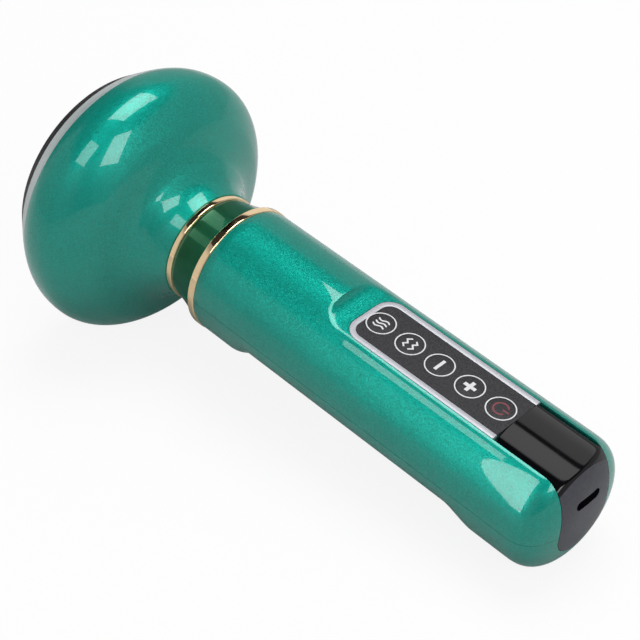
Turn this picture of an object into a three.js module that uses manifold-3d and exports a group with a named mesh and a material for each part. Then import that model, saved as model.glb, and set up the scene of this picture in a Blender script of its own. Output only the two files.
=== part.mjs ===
// Electric cupping massager: a wide suction cup head on a straight handle.
// It stands on its cup rim. +Z runs up the handle, the control panel faces -Y.
// Lengths are millimetres and the origin is the centre of the rim face.

import * as THREE from 'three';
import { mergeVertices } from 'three/addons/utils/BufferGeometryUtils.js';
import Module from 'manifold-3d';

const wasm = await Module();
wasm.setup();

// Fits between pieces, the lap of joined shapes and the overrun of every cut
const fit = 0.15;
const seatGap = 0.25;
const runningGap = 0.08;
const lap = 0.5;
const overrun = 1;
const mergeTolerance = 0.0001;

// Facets of round pieces
const headSides = 48;
const neckSides = 36;
const handleSides = 48;
const smallSides = 16;
const tinySides = 12;
const tubeSides = 10;
const tubeSteps = 12;
const headSteps = 6;
const flareSteps = 6;
const capSteps = 8;
const gripSteps = 4;
const rampSteps = 8;
const columnSteps = 10;
const cornerSteps = 5;

// Head: outline of the bulged shell, from the rim through bulge, shoulder and cove to the throat
const headHeight = 46;
const rimRadius = 33.8;
const bulgeRadius = 42.85;
const bulgeHeightShare = 0.391;
const shoulderRadiusShare = 0.669;
const shoulderHeightShare = 0.443;
const coveRadiusShare = 0.213;
const coveHeightShare = 0.681;
const throatLedge = 0.25;
const rimPullShares = [0.746, 0.5, 1, 0.639];
const bulgePullShares = [0, 0.363, 0.353, 0.677];
const shoulderPullShares = [0.244, 0.312, 0.774, 0.586];
const covePullShares = [0.218, 0.139, 0.859, 0.393];
const headWall = 2.4;
const throatCollar = 3.5;

// Cup: black rim, silver band and the deep wall of the suction cavity
const rimBand = 4.4;
const trimBand = 5.3;
const trimLedge = 2.4;
const rimEdge = 0.5;
const rimFaceWidth = 2.6;
const mouthBevel = 0.5;
const cupDraft = 1.8;
const cupLipHeight = 3;
const sleeveWall = 3;

// Cup floor with its heating plate, magnets, light ring and suction nozzle
const floorHeight = 11;
const floorThickness = 3;
const sealHeight = 2;
const sealWidth = 1.6;
const lightMargin = 2.9;
const lightWidth = 4;
const lightDrop = 0.8;
const lightDepth = 1.6;
const plateMargin = 1.5;
const plateBoreMargin = 1;
const plateThickness = 0.8;
const magnetCount = 6;
const magnetRadius = 2.5;
const magnetThickness = 1.3;
const nozzleMouthRadius = 4.25;
const nozzleWall = 0.55;
const nozzleFlangeWidth = 1.4;
const nozzleFlange = 1.4;
const nozzleRim = 1.2;
const barbRadius = 1.9;
const barbBore = 1.1;
const barbLength = 6;
const grilleThickness = 1;
const grilleHoleRadius = 0.55;
const grilleCircleShare = 0.56;
const grilleHoleCount = 6;
const filterThickness = 1.4;
const lightBoardMargin = 0.5;
const lightBoardWidth = 13.5;
const lampCount = 8;
const lampSize = 2;
const lampHeight = 0.6;

// Chassis: flange over the cup sleeve and the tower that carries the handle
const towerWall = 2.5;
const chassisFlange = 2;
const towerFlange = 2;
const towerFlangeRoom = 0.9;
const chassisScrewCount = 4;
const chassisScrewLength = 8;
const screwShankRadius = 0.85;
const screwHeadRadius = 1.9;
const screwHeadHeight = 1.4;
const pilotGap = 0.1;

// Neck: two gold rings with a trumpet shaped band between them
const neckInset = 3.1;
const neckTopInset = 0.4;
const neckWall = 2.9;
const neckHeight = 10.3;
const neckFlarePower = 1.5;
const lowerRingHeight = 2;
const lowerRingStep = 0.45;
const upperRingHeight = 2.5;
const upperRingStep = 0.2;
const ringChamfer = 0.35;

// Handle shells
const handleRadius = 20;
const handleWall = 2.3;
const handleCollar = 2.4;
const capHeight = 11.2;
const capPower = 2.6;
const gripDepthShare = 0.73;
const gripEntryLength = 9;
const gripExitLength = 10;
const gripStart = 12;
const gripEnd = 23.2;
const lipReach = 1.4;
const lipThickness = 0.8;
const saddleThickness = 1.6;

// Control panel on the flat front of the handle
const keyCount = 5;
const keyPitch = 10.75;
const keyRadius = 3.8;
const keyGap = 0.1;
const keyTravel = 0.4;
const keyStemRadius = 1.4;
const keyWellGap = 0.3;
const keyStartMargin = 5.85;
const keyEndMargin = 5.57;
const flatInset = 2.93;
const flatWall = 2.87;
const flatRampLength = 7;
const panelMargin = 0.66;
const panelDepth = 0.9;
const panelGap = 0.15;
const frameStroke = 1.8;
const frameCorner = 5.4;

// Black end insert with the charging socket
const insertFront = 26.2;
const insertBack = 0.6;
const socketWidth = 9.4;
const socketHeight = 2.9;
const usbShellWidth = 8.94;
const usbShellHeight = 3.26;
const usbShellWall = 0.3;
const usbShellLength = 7.3;
const usbSetback = 1.3;
const usbTongueWidth = 6.7;
const usbTongueThickness = 0.7;
const usbTongueLength = 4.5;

// Pump train: everything round follows the pump's radius
const collarToPump = 8.8;
const pumpSideRoom = 6.7;
const pumpHeadHeight = 8;
const pumpFrameHeight = 9;
const pumpFrameWallShare = 0.18;
const pumpPlate = 1.5;
const pumpWindowShare = 0.8;
const pumpWindowHeight = 5;
const pumpWindowRise = 2;
const diaphragmShare = 0.79;
const diaphragmThickness = 1.3;
const motorShare = 0.89;
const motorLength = 17;
const motorBossShare = 0.29;
const motorBoss = 1.2;
const motorScrewShare = 0.6;
const motorScrewHeadShare = 0.145;
const motorScrewHead = 0.85;
const motorScrewLength = 3.5;
const shaftRadius = 1;
const shaftGrip = 5;
const eccentricShare = 0.36;
const eccentricOffset = 1;
const eccentricHeight = 4;

// Battery, lying against the back of the grip
const batteryLength = 65;
const batteryGap = 1;
const batteryFrontRoom = 3.05;
const batteryTopRoom = 17.1;
const terminalShare = 0.3;
const terminalHeight = 0.8;

// Release valve and vibration motor, in the channels beside the battery
const sideStart = 2;
const sideAngle = 16;
const valveRadius = 3.5;
const valveLength = 14;
const valveTravel = 1.5;
const plungerRadius = 1.3;
const plungerLength = 9;
const buzzerRadius = 3.2;
const buzzerLength = 10;
const buzzerShaftRadius = 0.5;
const weightRadius = 2.8;
const weightHeight = 3.5;

// Air tubes and the pump's outlet
const tubeWall = 1.1;
const tubeBore = 2.2;
const thinTubeWall = 0.75;
const thinTubeBore = 1.45;
const thinBarbRadius = 1.25;
const portRadius = 2.4;
const portReach = 2.6;

// Boards
const boardThickness = 1.6;
const boardStandoff = 1.6;
const boardMargin = 0.43;
const boardOverlap = 3.2;
const switchSize = 6.2;
const switchHeight = 0.9;
const buttonRadius = 1.5;
const chipSize = 8;
const chipHeight = 1.4;
const usbBoardMargin = 1.76;
const usbBoardOverlap = 6;
const bossRadius = 2.2;
const boardScrewInset = 2.2;
const boardScrewEndInset = 10.8;
const boardScrewLength = 3;

// Heights up the axis
const trimTop = rimBand + trimBand;
const floorTop = floorHeight + floorThickness;
const sleeveTop = floorTop + sealHeight;
const chassisTop = sleeveTop + chassisFlange;
const neckBase = headHeight + lowerRingHeight;
const neckTop = neckBase + neckHeight;
const mouth = neckTop + upperRingHeight;
const handleFloor = mouth + handleCollar;
const towerTop = handleFloor + fit + towerFlange;
const pumpBase = handleFloor + collarToPump;
const pumpFrameBase = pumpBase + pumpHeadHeight;
const eccentricBase = pumpFrameBase + diaphragmThickness + seatGap;
const motorBase = pumpFrameBase + pumpFrameHeight;
const batteryBase = motorBase + motorLength + batteryGap;
const batteryTop = batteryBase + batteryLength;
const handleTop = batteryTop + batteryTopRoom;
const capBase = handleTop - capHeight;
const gripBase = mouth + gripStart;
const gripTop = handleTop - gripEnd;
const insertBase = handleTop - insertFront;
const powerKeyHeight = insertBase - keyEndMargin;
const frameBase = powerKeyHeight - keyPitch * (keyCount - 1) - keyStartMargin;
const rampBase = frameBase - flatRampLength;

// Depths across the handle, the front is negative
const cavityRadius = handleRadius - handleWall;
const gripDepth = handleRadius * gripDepthShare;
const gripCavity = gripDepth - handleWall;
const flatY = flatInset - handleRadius;
const pocketY = flatY + panelDepth;
const keyWellY = pocketY + keyTravel + fit;
const cavityFlatY = flatY + flatWall;
const boardFrontY = cavityFlatY + boardStandoff;
const boardBackY = boardFrontY + boardThickness;
const usbBoardBackY = boardBackY + boardThickness;
const usbY = usbBoardBackY + usbShellHeight / 2;
const stemEndY = cavityFlatY - keyGap;

// Widths that follow the handle
const flatHalfWidth = Math.sqrt(handleRadius ** 2 - flatY ** 2);
const panelHalfWidth = flatHalfWidth - panelMargin;
const boardHalfWidth = Math.sqrt(cavityRadius ** 2 - boardFrontY ** 2) - boardMargin;
const usbBoardHalfWidth = panelHalfWidth - usbBoardMargin;
const neckWaistRadius = handleRadius - neckInset;
const neckTopRadius = handleRadius - neckTopInset;
const lowerRingRadius = neckWaistRadius + lowerRingStep;
const upperRingRadius = handleRadius + upperRingStep;
const throatRadius = lowerRingRadius + throatLedge;
const towerRadius = neckWaistRadius - neckWall;
const towerBore = towerRadius - towerWall;
const towerFlangeRadius = cavityRadius - towerFlangeRoom;
const neckBore = towerRadius + fit;

// The pump and the battery both lie against the back of the grip
const pumpRadius = cavityRadius - pumpSideRoom;
const pumpInnerRadius = pumpRadius * (1 - pumpFrameWallShare);
const pumpY = gripCavity - seatGap - pumpRadius;
const motorRadius = pumpRadius * motorShare;
const motorBossRadius = pumpRadius * motorBossShare;
const batteryRadius = (gripCavity - seatGap - usbBoardBackY - batteryFrontRoom) / 2;
const batteryY = gripCavity - seatGap - batteryRadius;

// Radii inside the cup
const cupMouthRadius = rimRadius - rimEdge - rimFaceWidth - mouthBevel;
const cupWallRadius = cupMouthRadius - cupDraft;
const sleeveRadius = cupWallRadius + sleeveWall;
const floorRadius = cupWallRadius - fit;
const lightOuterRadius = cupWallRadius - lightMargin;
const lightInnerRadius = lightOuterRadius - lightWidth;
const plateRadius = lightInnerRadius - plateMargin;
const nozzleBodyRadius = nozzleMouthRadius + nozzleWall;
const nozzleFlangeRadius = nozzleBodyRadius + nozzleFlangeWidth;
const plateBore = nozzleFlangeRadius + plateBoreMargin;
const magnetCircle = (plateBore + plateRadius) / 2;
const lightBoardOuter = lightOuterRadius + lightBoardMargin;
const lightBoardInner = lightBoardOuter - lightBoardWidth;

// Heights of the nozzle, and the pilot hole that suits the screws
const nozzleLow = floorHeight - nozzleFlange;
const nozzleSeat = nozzleLow + grilleThickness + filterThickness;
const barbBase = floorTop + nozzleRim;
const barbTop = barbBase + barbLength;
const pilotRadius = screwShankRadius + pilotGap;

// Finishes
const finishes = {
  paint: new THREE.MeshStandardMaterial({ color: 0x14806b, roughness: 0.25, metalness: 0.6 }),
  olive: new THREE.MeshStandardMaterial({ color: 0x2f5a40, roughness: 0.15, metalness: 0.4 }),
  gold: new THREE.MeshStandardMaterial({ color: 0xe0be90, roughness: 0.15, metalness: 1 }),
  silver: new THREE.MeshStandardMaterial({ color: 0xb4b8bc, roughness: 0.25, metalness: 1 }),
  gloss: new THREE.MeshStandardMaterial({ color: 0x1c1d20, roughness: 0.1, metalness: 0 }),
  film: new THREE.MeshStandardMaterial({ color: 0x3c3c40, roughness: 0.6, metalness: 0 }),
  plastic: new THREE.MeshStandardMaterial({ color: 0x2a2b2e, roughness: 0.6, metalness: 0 }),
  white: new THREE.MeshStandardMaterial({ color: 0xd8d8d4, roughness: 0.5, metalness: 0 }),
  steel: new THREE.MeshStandardMaterial({ color: 0xc2c4c6, roughness: 0.3, metalness: 1 }),
  brass: new THREE.MeshStandardMaterial({ color: 0xc79a4a, roughness: 0.3, metalness: 1 }),
  rubber: new THREE.MeshStandardMaterial({ color: 0x9aa0a4, roughness: 0.7, metalness: 0 }),
  diffuser: new THREE.MeshStandardMaterial({ color: 0xd98f88, roughness: 0.4, metalness: 0 }),
  board: new THREE.MeshStandardMaterial({ color: 0x1f5a38, roughness: 0.5, metalness: 0 }),
  cell: new THREE.MeshStandardMaterial({ color: 0x3d6fb5, roughness: 0.4, metalness: 0.1 }),
};

// A closed geometry becomes a solid that can be joined and cut
function solid(geometry) {
  const bare = geometry.clone();
  bare.deleteAttribute('normal');
  bare.deleteAttribute('uv');
  const merged = mergeVertices(bare, mergeTolerance);
  const corners = merged.index.array;
  const kept = [];
  for (let i = 0; i < corners.length; i += 3) {
    const [a, b, c] = corners.slice(i, i + 3);
    if (a !== b && b !== c && c !== a) kept.push(a, b, c);
  }
  return new wasm.Manifold(new wasm.Mesh({
    numProp: 3,
    vertProperties: new Float32Array(merged.attributes.position.array),
    triVerts: new Uint32Array(kept),
  }));
}

function geometryOf(body) {
  const mesh = body.getMesh();
  const geometry = new THREE.BufferGeometry();
  geometry.setAttribute('position', new THREE.BufferAttribute(mesh.vertProperties, 3));
  geometry.setIndex(new THREE.BufferAttribute(mesh.triVerts, 1));
  geometry.computeVertexNormals();
  return geometry;
}

function joined(bodies) {
  return bodies.reduce((sum, body) => sum.add(body));
}

// Turned round +Z from a closed outline of [radius, height] pairs
function turned(outline, sides) {
  const points = outline.map(([r, z]) => new THREE.Vector2(r, z));
  const onAxis = points[0].x === 0 && points[points.length - 1].x === 0;
  if (!onAxis) points.push(points[0].clone());
  if (THREE.ShapeUtils.area(points) < 0) points.reverse();
  return solid(new THREE.LatheGeometry(points, sides).rotateX(Math.PI / 2));
}

function rod(radius, low, high, sides = smallSides) {
  return turned([[0, low], [radius, low], [radius, high], [0, high]], sides);
}

function rodAt(x, y, radius, low, high, sides = smallSides) {
  return rod(radius, low, high, sides).translate([x, y, 0]);
}

// A rod along Y, from the front to the back
function pinY(x, z, radius, front, back, sides = smallSides) {
  const length = back - front;
  const geometry = new THREE.CylinderGeometry(radius, radius, length, sides);
  return solid(geometry.translate(x, front + length / 2, z));
}

function block(x0, x1, y0, y1, z0, z1) {
  const geometry = new THREE.BoxGeometry(x1 - x0, y1 - y0, z1 - z0);
  return solid(geometry.translate((x0 + x1) / 2, (y0 + y1) / 2, (z0 + z1) / 2));
}

// A shape drawn in X and Z, extruded along Y from front to back
function plateY(shape, front, back) {
  const geometry = new THREE.ExtrudeGeometry(shape, {
    depth: back - front, bevelEnabled: false, curveSegments: cornerSteps,
  });
  return solid(geometry.rotateX(Math.PI / 2).translate(0, back, 0));
}

// A shape drawn in X and Y, extruded along Z
function plateZ(shape, low, high, steps = cornerSteps) {
  const geometry = new THREE.ExtrudeGeometry(shape, {
    depth: high - low, bevelEnabled: false, curveSegments: steps,
  });
  return solid(geometry.translate(0, 0, low));
}

// A bar with round ends, long side along X
function slotShape(width, height) {
  const radius = height / 2;
  const reach = width / 2 - radius;
  const shape = new THREE.Shape();
  shape.absarc(reach, 0, radius, -Math.PI / 2, Math.PI / 2, false);
  shape.absarc(-reach, 0, radius, Math.PI / 2, Math.PI * 3 / 2, false);
  return shape;
}

// A hollow tube along a smooth path
function tube(points, radius, bore) {
  const section = new THREE.Shape();
  section.absarc(0, 0, radius, 0, Math.PI * 2, false);
  const hole = new THREE.Path();
  hole.absarc(0, 0, bore, 0, Math.PI * 2, true);
  section.holes.push(hole);
  const path = new THREE.CatmullRomCurve3(points.map((p) => new THREE.Vector3(...p)));
  return solid(new THREE.ExtrudeGeometry(section, {
    steps: tubeSteps, extrudePath: path, curveSegments: tubeSides / 2, bevelEnabled: false,
  }));
}

// The head's outline: four Bezier arcs from the rim to the throat
function bezierArc([r0, z0], [r1, z1], [shareR0, shareZ0, shareR1, shareZ1]) {
  const at = (shareR, shareZ) => new THREE.Vector2(r0 + (r1 - r0) * shareR, z0 + (z1 - z0) * shareZ);
  return new THREE.CubicBezierCurve(at(0, 0), at(shareR0, shareZ0), at(shareR1, shareZ1), at(1, 1));
}

const bulgeHeight = headHeight * bulgeHeightShare;
function aboveBulge(radiusShare, heightShare) {
  return [
    throatRadius + (bulgeRadius - throatRadius) * radiusShare,
    bulgeHeight + (headHeight - bulgeHeight) * heightShare,
  ];
}

const headStations = [
  [rimRadius, 0], [bulgeRadius, bulgeHeight], aboveBulge(shoulderRadiusShare, shoulderHeightShare),
  aboveBulge(coveRadiusShare, coveHeightShare), [throatRadius, headHeight],
];
const headPulls = [rimPullShares, bulgePullShares, shoulderPullShares, covePullShares];
const headOutline = headPulls.flatMap((pulls, i) => {
  const arc = bezierArc(headStations[i], headStations[i + 1], pulls).getPoints(headSteps);
  return (i ? arc.slice(1) : arc).map((p) => [p.x, p.y]);
});

function radiusOn(outline, z) {
  const i = Math.max(1, outline.findIndex((p) => p[1] >= z));
  const [[r0, z0], [r1, z1]] = [outline[i - 1], outline[i]];
  return r0 + (r1 - r0) * (z - z0) / (z1 - z0);
}

function between(outline, low, high) {
  const inside = outline.filter((p) => p[1] > low + lap && p[1] < high - lap);
  return [[radiusOn(outline, low), low], ...inside, [radiusOn(outline, high), high]];
}

// The same outline moved inward by a wall
function insetOutline(outline, wall) {
  return outline.map((p, i) => {
    const before = outline[Math.max(i - 1, 0)];
    const after = outline[Math.min(i + 1, outline.length - 1)];
    const along = new THREE.Vector2(after[0] - before[0], after[1] - before[1]).normalize();
    return [p[0] - along.y * wall, p[1] + along.x * wall];
  });
}

// Cup rim: flat rim face, flared mouth and the sleeve that holds the cup floor
function cupRim() {
  const outer = between(headOutline, rimEdge, rimBand);
  let body = turned([
    [cupMouthRadius + mouthBevel, 0], [rimRadius - rimEdge, 0], ...outer,
    [sleeveRadius, rimBand], [sleeveRadius, sleeveTop], [cupWallRadius, sleeveTop],
    [cupWallRadius, cupLipHeight], [cupMouthRadius, mouthBevel],
  ], headSides);
  const depth = chassisTop - chassisScrewLength - pilotGap;
  for (const [x, y] of chassisScrewPlaces) {
    body = body.subtract(rodAt(x, y, pilotRadius, depth, sleeveTop + overrun, tinySides));
  }
  return body;
}

function trimRing() {
  const outer = between(headOutline, rimBand, trimTop);
  const inner = sleeveRadius + fit;
  const topInner = outer[outer.length - 1][0] - headWall;
  return turned([
    [inner, rimBand], ...outer, [topInner, trimTop],
    [topInner, rimBand + trimLedge], [inner, rimBand + trimLedge],
  ], headSides);
}

function headShell() {
  const outer = between(headOutline, trimTop, headHeight);
  const wall = insetOutline(outer, headWall);
  const collarBase = headHeight - throatCollar;
  const inner = wall.filter((p, i) => i % 2 && p[1] > trimTop + lap && p[1] < collarBase - lap);
  return turned([
    ...outer, [neckBore, headHeight], [neckBore, collarBase], [radiusOn(wall, collarBase), collarBase],
    ...inner.reverse(), [outer[0][0] - headWall, trimTop],
  ], headSides);
}

function neckRing(low, high, radius) {
  return turned([
    [neckBore, low], [radius - ringChamfer, low], [radius, low + ringChamfer],
    [radius, high - ringChamfer], [radius - ringChamfer, high], [neckBore, high],
  ], neckSides);
}

function neckBand() {
  const flare = [];
  for (let i = 0; i <= flareSteps; i += 1) {
    const share = i / flareSteps;
    const radius = neckWaistRadius + (neckTopRadius - neckWaistRadius) * share ** neckFlarePower;
    flare.push([radius, neckBase + neckHeight * share]);
  }
  return turned([[neckBore, neckBase], ...flare, [neckBore, neckTop]], neckSides);
}

// Places evenly spread round the axis, turned by a share of one step
function ring(count, radius, turnShare = 0) {
  return Array.from({ length: count }, (_, i) => {
    const angle = Math.PI * 2 * (i + turnShare) / count;
    return [radius * Math.cos(angle), radius * Math.sin(angle)];
  });
}

const magnetPlaces = ring(magnetCount, magnetCircle);
const chassisScrewPlaces = ring(chassisScrewCount, cupWallRadius + sleeveWall / 2, 1 / 2);

// Cup floor and what it carries
function cupFloor() {
  const bore = nozzleBodyRadius + fit;
  const grooveTop = floorHeight + lightDepth - lightDrop;
  return turned([
    [bore, floorHeight], [lightInnerRadius - fit, floorHeight], [lightInnerRadius - fit, grooveTop],
    [lightOuterRadius + fit, grooveTop], [lightOuterRadius + fit, floorHeight],
    [floorRadius, floorHeight], [floorRadius, floorTop], [bore, floorTop],
  ], headSides);
}

function washer(inner, outer, low, high, sides) {
  return turned([[inner, low], [outer, low], [outer, high], [inner, high]], sides);
}

function heatingPlate() {
  const low = floorHeight - plateThickness;
  let plate = washer(plateBore, plateRadius, low, floorHeight, neckSides);
  for (const [x, y] of magnetPlaces) {
    plate = plate.subtract(rodAt(x, y, magnetRadius + fit, low - overrun, floorHeight + overrun));
  }
  return plate;
}

function magnet([x, y]) {
  return rodAt(x, y, magnetRadius, floorHeight - magnetThickness, floorHeight);
}

function lightRing() {
  const low = floorHeight - lightDrop;
  return washer(lightInnerRadius, lightOuterRadius, low, low + lightDepth, headSides);
}

function suctionNozzle() {
  return turned([
    [nozzleMouthRadius, nozzleLow], [nozzleFlangeRadius, nozzleLow], [nozzleFlangeRadius, floorHeight],
    [nozzleBodyRadius, floorHeight], [nozzleBodyRadius, floorTop],
    [barbRadius, barbBase], [barbRadius, barbTop], [barbBore, barbTop],
    [barbBore, nozzleSeat], [nozzleMouthRadius, nozzleSeat],
  ], smallSides);
}

function nozzleGrille() {
  const high = nozzleLow + grilleThickness;
  let disc = rod(nozzleMouthRadius - fit, nozzleLow, high);
  for (const [x, y] of [[0, 0], ...ring(grilleHoleCount, nozzleMouthRadius * grilleCircleShare)]) {
    disc = disc.subtract(rodAt(x, y, grilleHoleRadius, nozzleLow - overrun, high + overrun, tinySides));
  }
  return disc;
}

function nozzleFilter() {
  return rod(nozzleMouthRadius - fit, nozzleLow + grilleThickness, nozzleSeat);
}

function cupSeal() {
  return washer(floorRadius - sealWidth, floorRadius, floorTop, sleeveTop, neckSides);
}

function lightBoard() {
  const high = floorTop + boardThickness - lampHeight;
  const disc = washer(lightBoardInner, lightBoardOuter, floorTop, high, neckSides);
  const half = lampSize / 2;
  const lamps = ring(lampCount, lightOuterRadius - lightWidth / 2).map(([x, y]) => (
    block(x - half, x + half, y - half, y + half, high - lap, high + lampHeight)));
  return joined([disc, ...lamps]);
}

// Chassis: flange on the sleeve, tower through the neck, flange inside the handle
function headChassis() {
  const flangeLow = handleFloor + fit;
  let body = turned([
    [towerBore, sleeveTop], [sleeveRadius, sleeveTop], [sleeveRadius, chassisTop],
    [towerRadius, chassisTop], [towerRadius, flangeLow], [towerFlangeRadius, flangeLow],
    [towerFlangeRadius, towerTop], [towerBore, towerTop],
  ], neckSides);
  for (const [x, y] of chassisScrewPlaces) {
    body = body.subtract(rodAt(x, y, pilotRadius, sleeveTop - overrun, chassisTop + overrun, tinySides));
  }
  return body;
}

function chassisScrew([x, y]) {
  const tip = chassisTop - chassisScrewLength;
  const top = chassisTop + screwHeadHeight;
  return turned([
    [0, tip], [screwShankRadius, tip], [screwShankRadius, chassisTop],
    [screwHeadRadius, chassisTop], [screwHeadRadius, top], [0, top],
  ], tinySides).translate([x, y, 0]);
}

// Handle body as a loft: the back half is drawn in between the grip's two ends
function gripShare(z) {
  const entry = THREE.MathUtils.smoothstep(z, gripBase, gripBase + gripEntryLength);
  const exit = THREE.MathUtils.smoothstep(z, gripTop - gripExitLength, gripTop);
  return entry - exit;
}

function handleStations(floor) {
  const heights = [floor];
  for (let i = 0; i <= gripSteps; i += 1) heights.push(gripBase + gripEntryLength * i / gripSteps);
  for (let i = gripSteps; i >= 0; i -= 1) heights.push(gripTop - gripExitLength * i / gripSteps);
  return heights;
}

function handleBody(wall, floor) {
  const radius = handleRadius - wall;
  const cap = capHeight - wall;
  const rings = handleStations(floor).map((z) => ({ z, radius, back: gripBack(z, wall) }));
  for (let i = 0; i < capSteps; i += 1) {
    const angle = Math.PI / 2 * i / capSteps;
    const width = radius * Math.cos(angle) ** (2 / capPower);
    rings.push({ z: capBase + cap * Math.sin(angle) ** (2 / capPower), radius: width, back: width });
  }
  return loft(rings, capBase + cap);
}

function gripBack(z, wall) {
  return handleRadius - wall - (handleRadius - gripDepth) * gripShare(z);
}

// Rings of equal count joined by faces, with a flat floor and a pointed top
function loft(rings, top) {
  const positions = [];
  for (const { z, radius, back } of rings) {
    for (let i = 0; i < handleSides; i += 1) {
      const angle = Math.PI * 2 * i / handleSides;
      const depth = Math.sin(angle) > 0 ? back : radius;
      positions.push(radius * Math.cos(angle), depth * Math.sin(angle), z);
    }
  }
  const floorCentre = rings.length * handleSides;
  const topCentre = floorCentre + 1;
  positions.push(0, 0, rings[0].z, 0, 0, top);
  const corners = [];
  for (let i = 0; i < handleSides; i += 1) {
    const next = (i + 1) % handleSides;
    corners.push(floorCentre, next, i);
    for (let k = 0; k < rings.length - 1; k += 1) {
      const low = k * handleSides;
      const high = low + handleSides;
      corners.push(low + i, low + next, high + next, low + i, high + next, high + i);
    }
    const last = (rings.length - 1) * handleSides;
    corners.push(last + i, last + next, topCentre);
  }
  const geometry = new THREE.BufferGeometry();
  geometry.setAttribute('position', new THREE.Float32BufferAttribute(positions, 3));
  geometry.setIndex(corners);
  return solid(geometry);
}

// What the flat front takes away: a plane that starts with an elliptical ramp
function flatCutter() {
  const front = -handleRadius - overrun;
  const shape = new THREE.Shape();
  shape.moveTo(front, rampBase);
  for (let i = 0; i <= rampSteps; i += 1) {
    const angle = Math.PI / 2 * i / rampSteps;
    const depth = flatY - flatInset * (1 - Math.sin(angle));
    shape.lineTo(depth, frameBase - flatRampLength * Math.cos(angle));
  }
  shape.lineTo(flatY, handleTop + overrun);
  shape.lineTo(front, handleTop + overrun);
  const reach = handleRadius + overrun;
  const geometry = new THREE.ExtrudeGeometry(shape, { depth: reach * 2, bevelEnabled: false });
  // The shape's X and Y become the part's Y and Z, and its depth runs along X
  const toPart = new THREE.Matrix4().makeBasis(
    new THREE.Vector3(0, 1, 0), new THREE.Vector3(0, 0, 1), new THREE.Vector3(1, 0, 0));
  return solid(geometry.applyMatrix4(toPart).translate(-reach, 0, 0));
}

const outerBody = handleBody(0, mouth).subtract(flatCutter());
const cavityFlat = block(
  -handleRadius, handleRadius, -handleRadius, cavityFlatY, rampBase - flatWall, handleTop);
const cavity = handleBody(handleWall, handleFloor).subtract(cavityFlat);
const hollowBody = outerBody.subtract(cavity)
  .subtract(rod(neckBore, mouth - overrun, handleFloor + overrun, neckSides));

// The insert's column: straight sides and a round back, seen from the end
function insertColumn(grow) {
  const half = panelHalfWidth + grow;
  const front = -handleRadius - overrun;
  const shape = new THREE.Shape();
  shape.moveTo(half, front);
  shape.lineTo(half, insertBack);
  shape.absarc(0, insertBack, half, 0, Math.PI, false);
  shape.lineTo(-half, front);
  return plateZ(shape, insertBase - grow, handleTop + overrun, columnSteps);
}

// The panel's outline: round corners towards the cup, open towards the insert
function panelShape(inset, top) {
  const half = panelHalfWidth - inset;
  const corner = frameCorner - inset;
  const low = frameBase + inset;
  const shape = new THREE.Shape();
  shape.moveTo(half, top);
  shape.lineTo(half, low + corner);
  shape.absarc(half - corner, low + corner, corner, 0, -Math.PI / 2, true);
  shape.absarc(corner - half, low + corner, corner, -Math.PI / 2, -Math.PI, true);
  shape.lineTo(-half, top);
  return shape;
}

function panelPlate(inset, top, front, back) {
  return plateY(panelShape(inset, top), front, back);
}

const keyHeights = Array.from({ length: keyCount }, (_, i) => powerKeyHeight - keyPitch * (keyCount - 1 - i));

// Places for the four screws that hold the main board to the front shell
const boardBase = frameBase;
const boardTop = insertBase + boardOverlap;
const boardScrewX = boardHalfWidth - boardScrewInset;
const boardScrewPlaces = [-boardScrewX, boardScrewX].flatMap((x) => (
  [boardBase + boardScrewEndInset, boardTop - boardScrewEndInset].map((z) => [x, z])));

function halfSpace(front, back) {
  const reach = handleRadius + overrun;
  return block(-reach, reach, front, back, mouth - overrun, handleTop + overrun);
}

function frontShell() {
  const front = flatY - overrun;
  let body = hollowBody.subtract(halfSpace(0, handleRadius + overrun));
  body = body.subtract(panelPlate(-panelGap, insertBase + overrun, front, pocketY));
  body = body.subtract(insertColumn(panelGap));
  for (const z of keyHeights) {
    const well = pinY(0, z, keyRadius + keyWellGap, front, keyWellY);
    const bore = pinY(0, z, keyStemRadius + keyWellGap, front, cavityFlatY + overrun, tinySides);
    body = body.subtract(well.add(bore));
  }
  for (const [x, z] of boardScrewPlaces) {
    const tip = boardBackY - boardScrewLength - pilotGap;
    body = body.add(pinY(x, z, bossRadius, cavityFlatY - lap, boardFrontY, tinySides));
    body = body.subtract(pinY(x, z, pilotRadius, tip, boardFrontY + overrun, tinySides));
  }
  return body;
}

// Saddle ribs that the battery lies in
function saddles() {
  const heights = [batteryBase + sideStart, (batteryBase + batteryTop) / 2, batteryTop - sideStart];
  const bed = rodAt(0, batteryY, batteryRadius + fit, mouth, handleTop, neckSides);
  const reach = handleRadius;
  const slabs = heights.map((z) => (
    block(-reach, reach, batteryY, reach, z - saddleThickness / 2, z + saddleThickness / 2)));
  return joined(slabs).intersect(handleBody(handleWall / 2, handleFloor)).subtract(bed);
}

// The lip that carries the parting line, plugged inside the front shell
function partingLip() {
  const floor = handleFloor + towerFlange + fit * 2;
  const reach = handleRadius;
  const top = capBase;
  const plug = handleBody(handleWall + fit, floor)
    .intersect(block(-reach, reach, -lipReach, lipReach, floor, top));
  const root = handleBody(handleWall / 2, floor).intersect(block(-reach, reach, 0, lipReach, floor, top));
  return plug.add(root).subtract(handleBody(handleWall + lipThickness, floor - overrun));
}

function backShell() {
  const half = hollowBody.subtract(halfSpace(-handleRadius - overrun, 0));
  return half.add(saddles()).add(partingLip()).subtract(insertColumn(panelGap));
}

function panelFrame() {
  const top = insertBase - fit;
  return panelPlate(0, top, flatY, pocketY)
    .subtract(panelPlate(frameStroke, top + overrun, flatY - overrun, pocketY + overrun));
}

function controlOverlay() {
  let sheet = panelPlate(frameStroke + keyGap / 2, insertBase - fit, flatY, pocketY);
  for (const z of keyHeights) {
    sheet = sheet.subtract(pinY(0, z, keyRadius + keyGap, flatY - overrun, pocketY + overrun));
  }
  return sheet;
}

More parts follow.
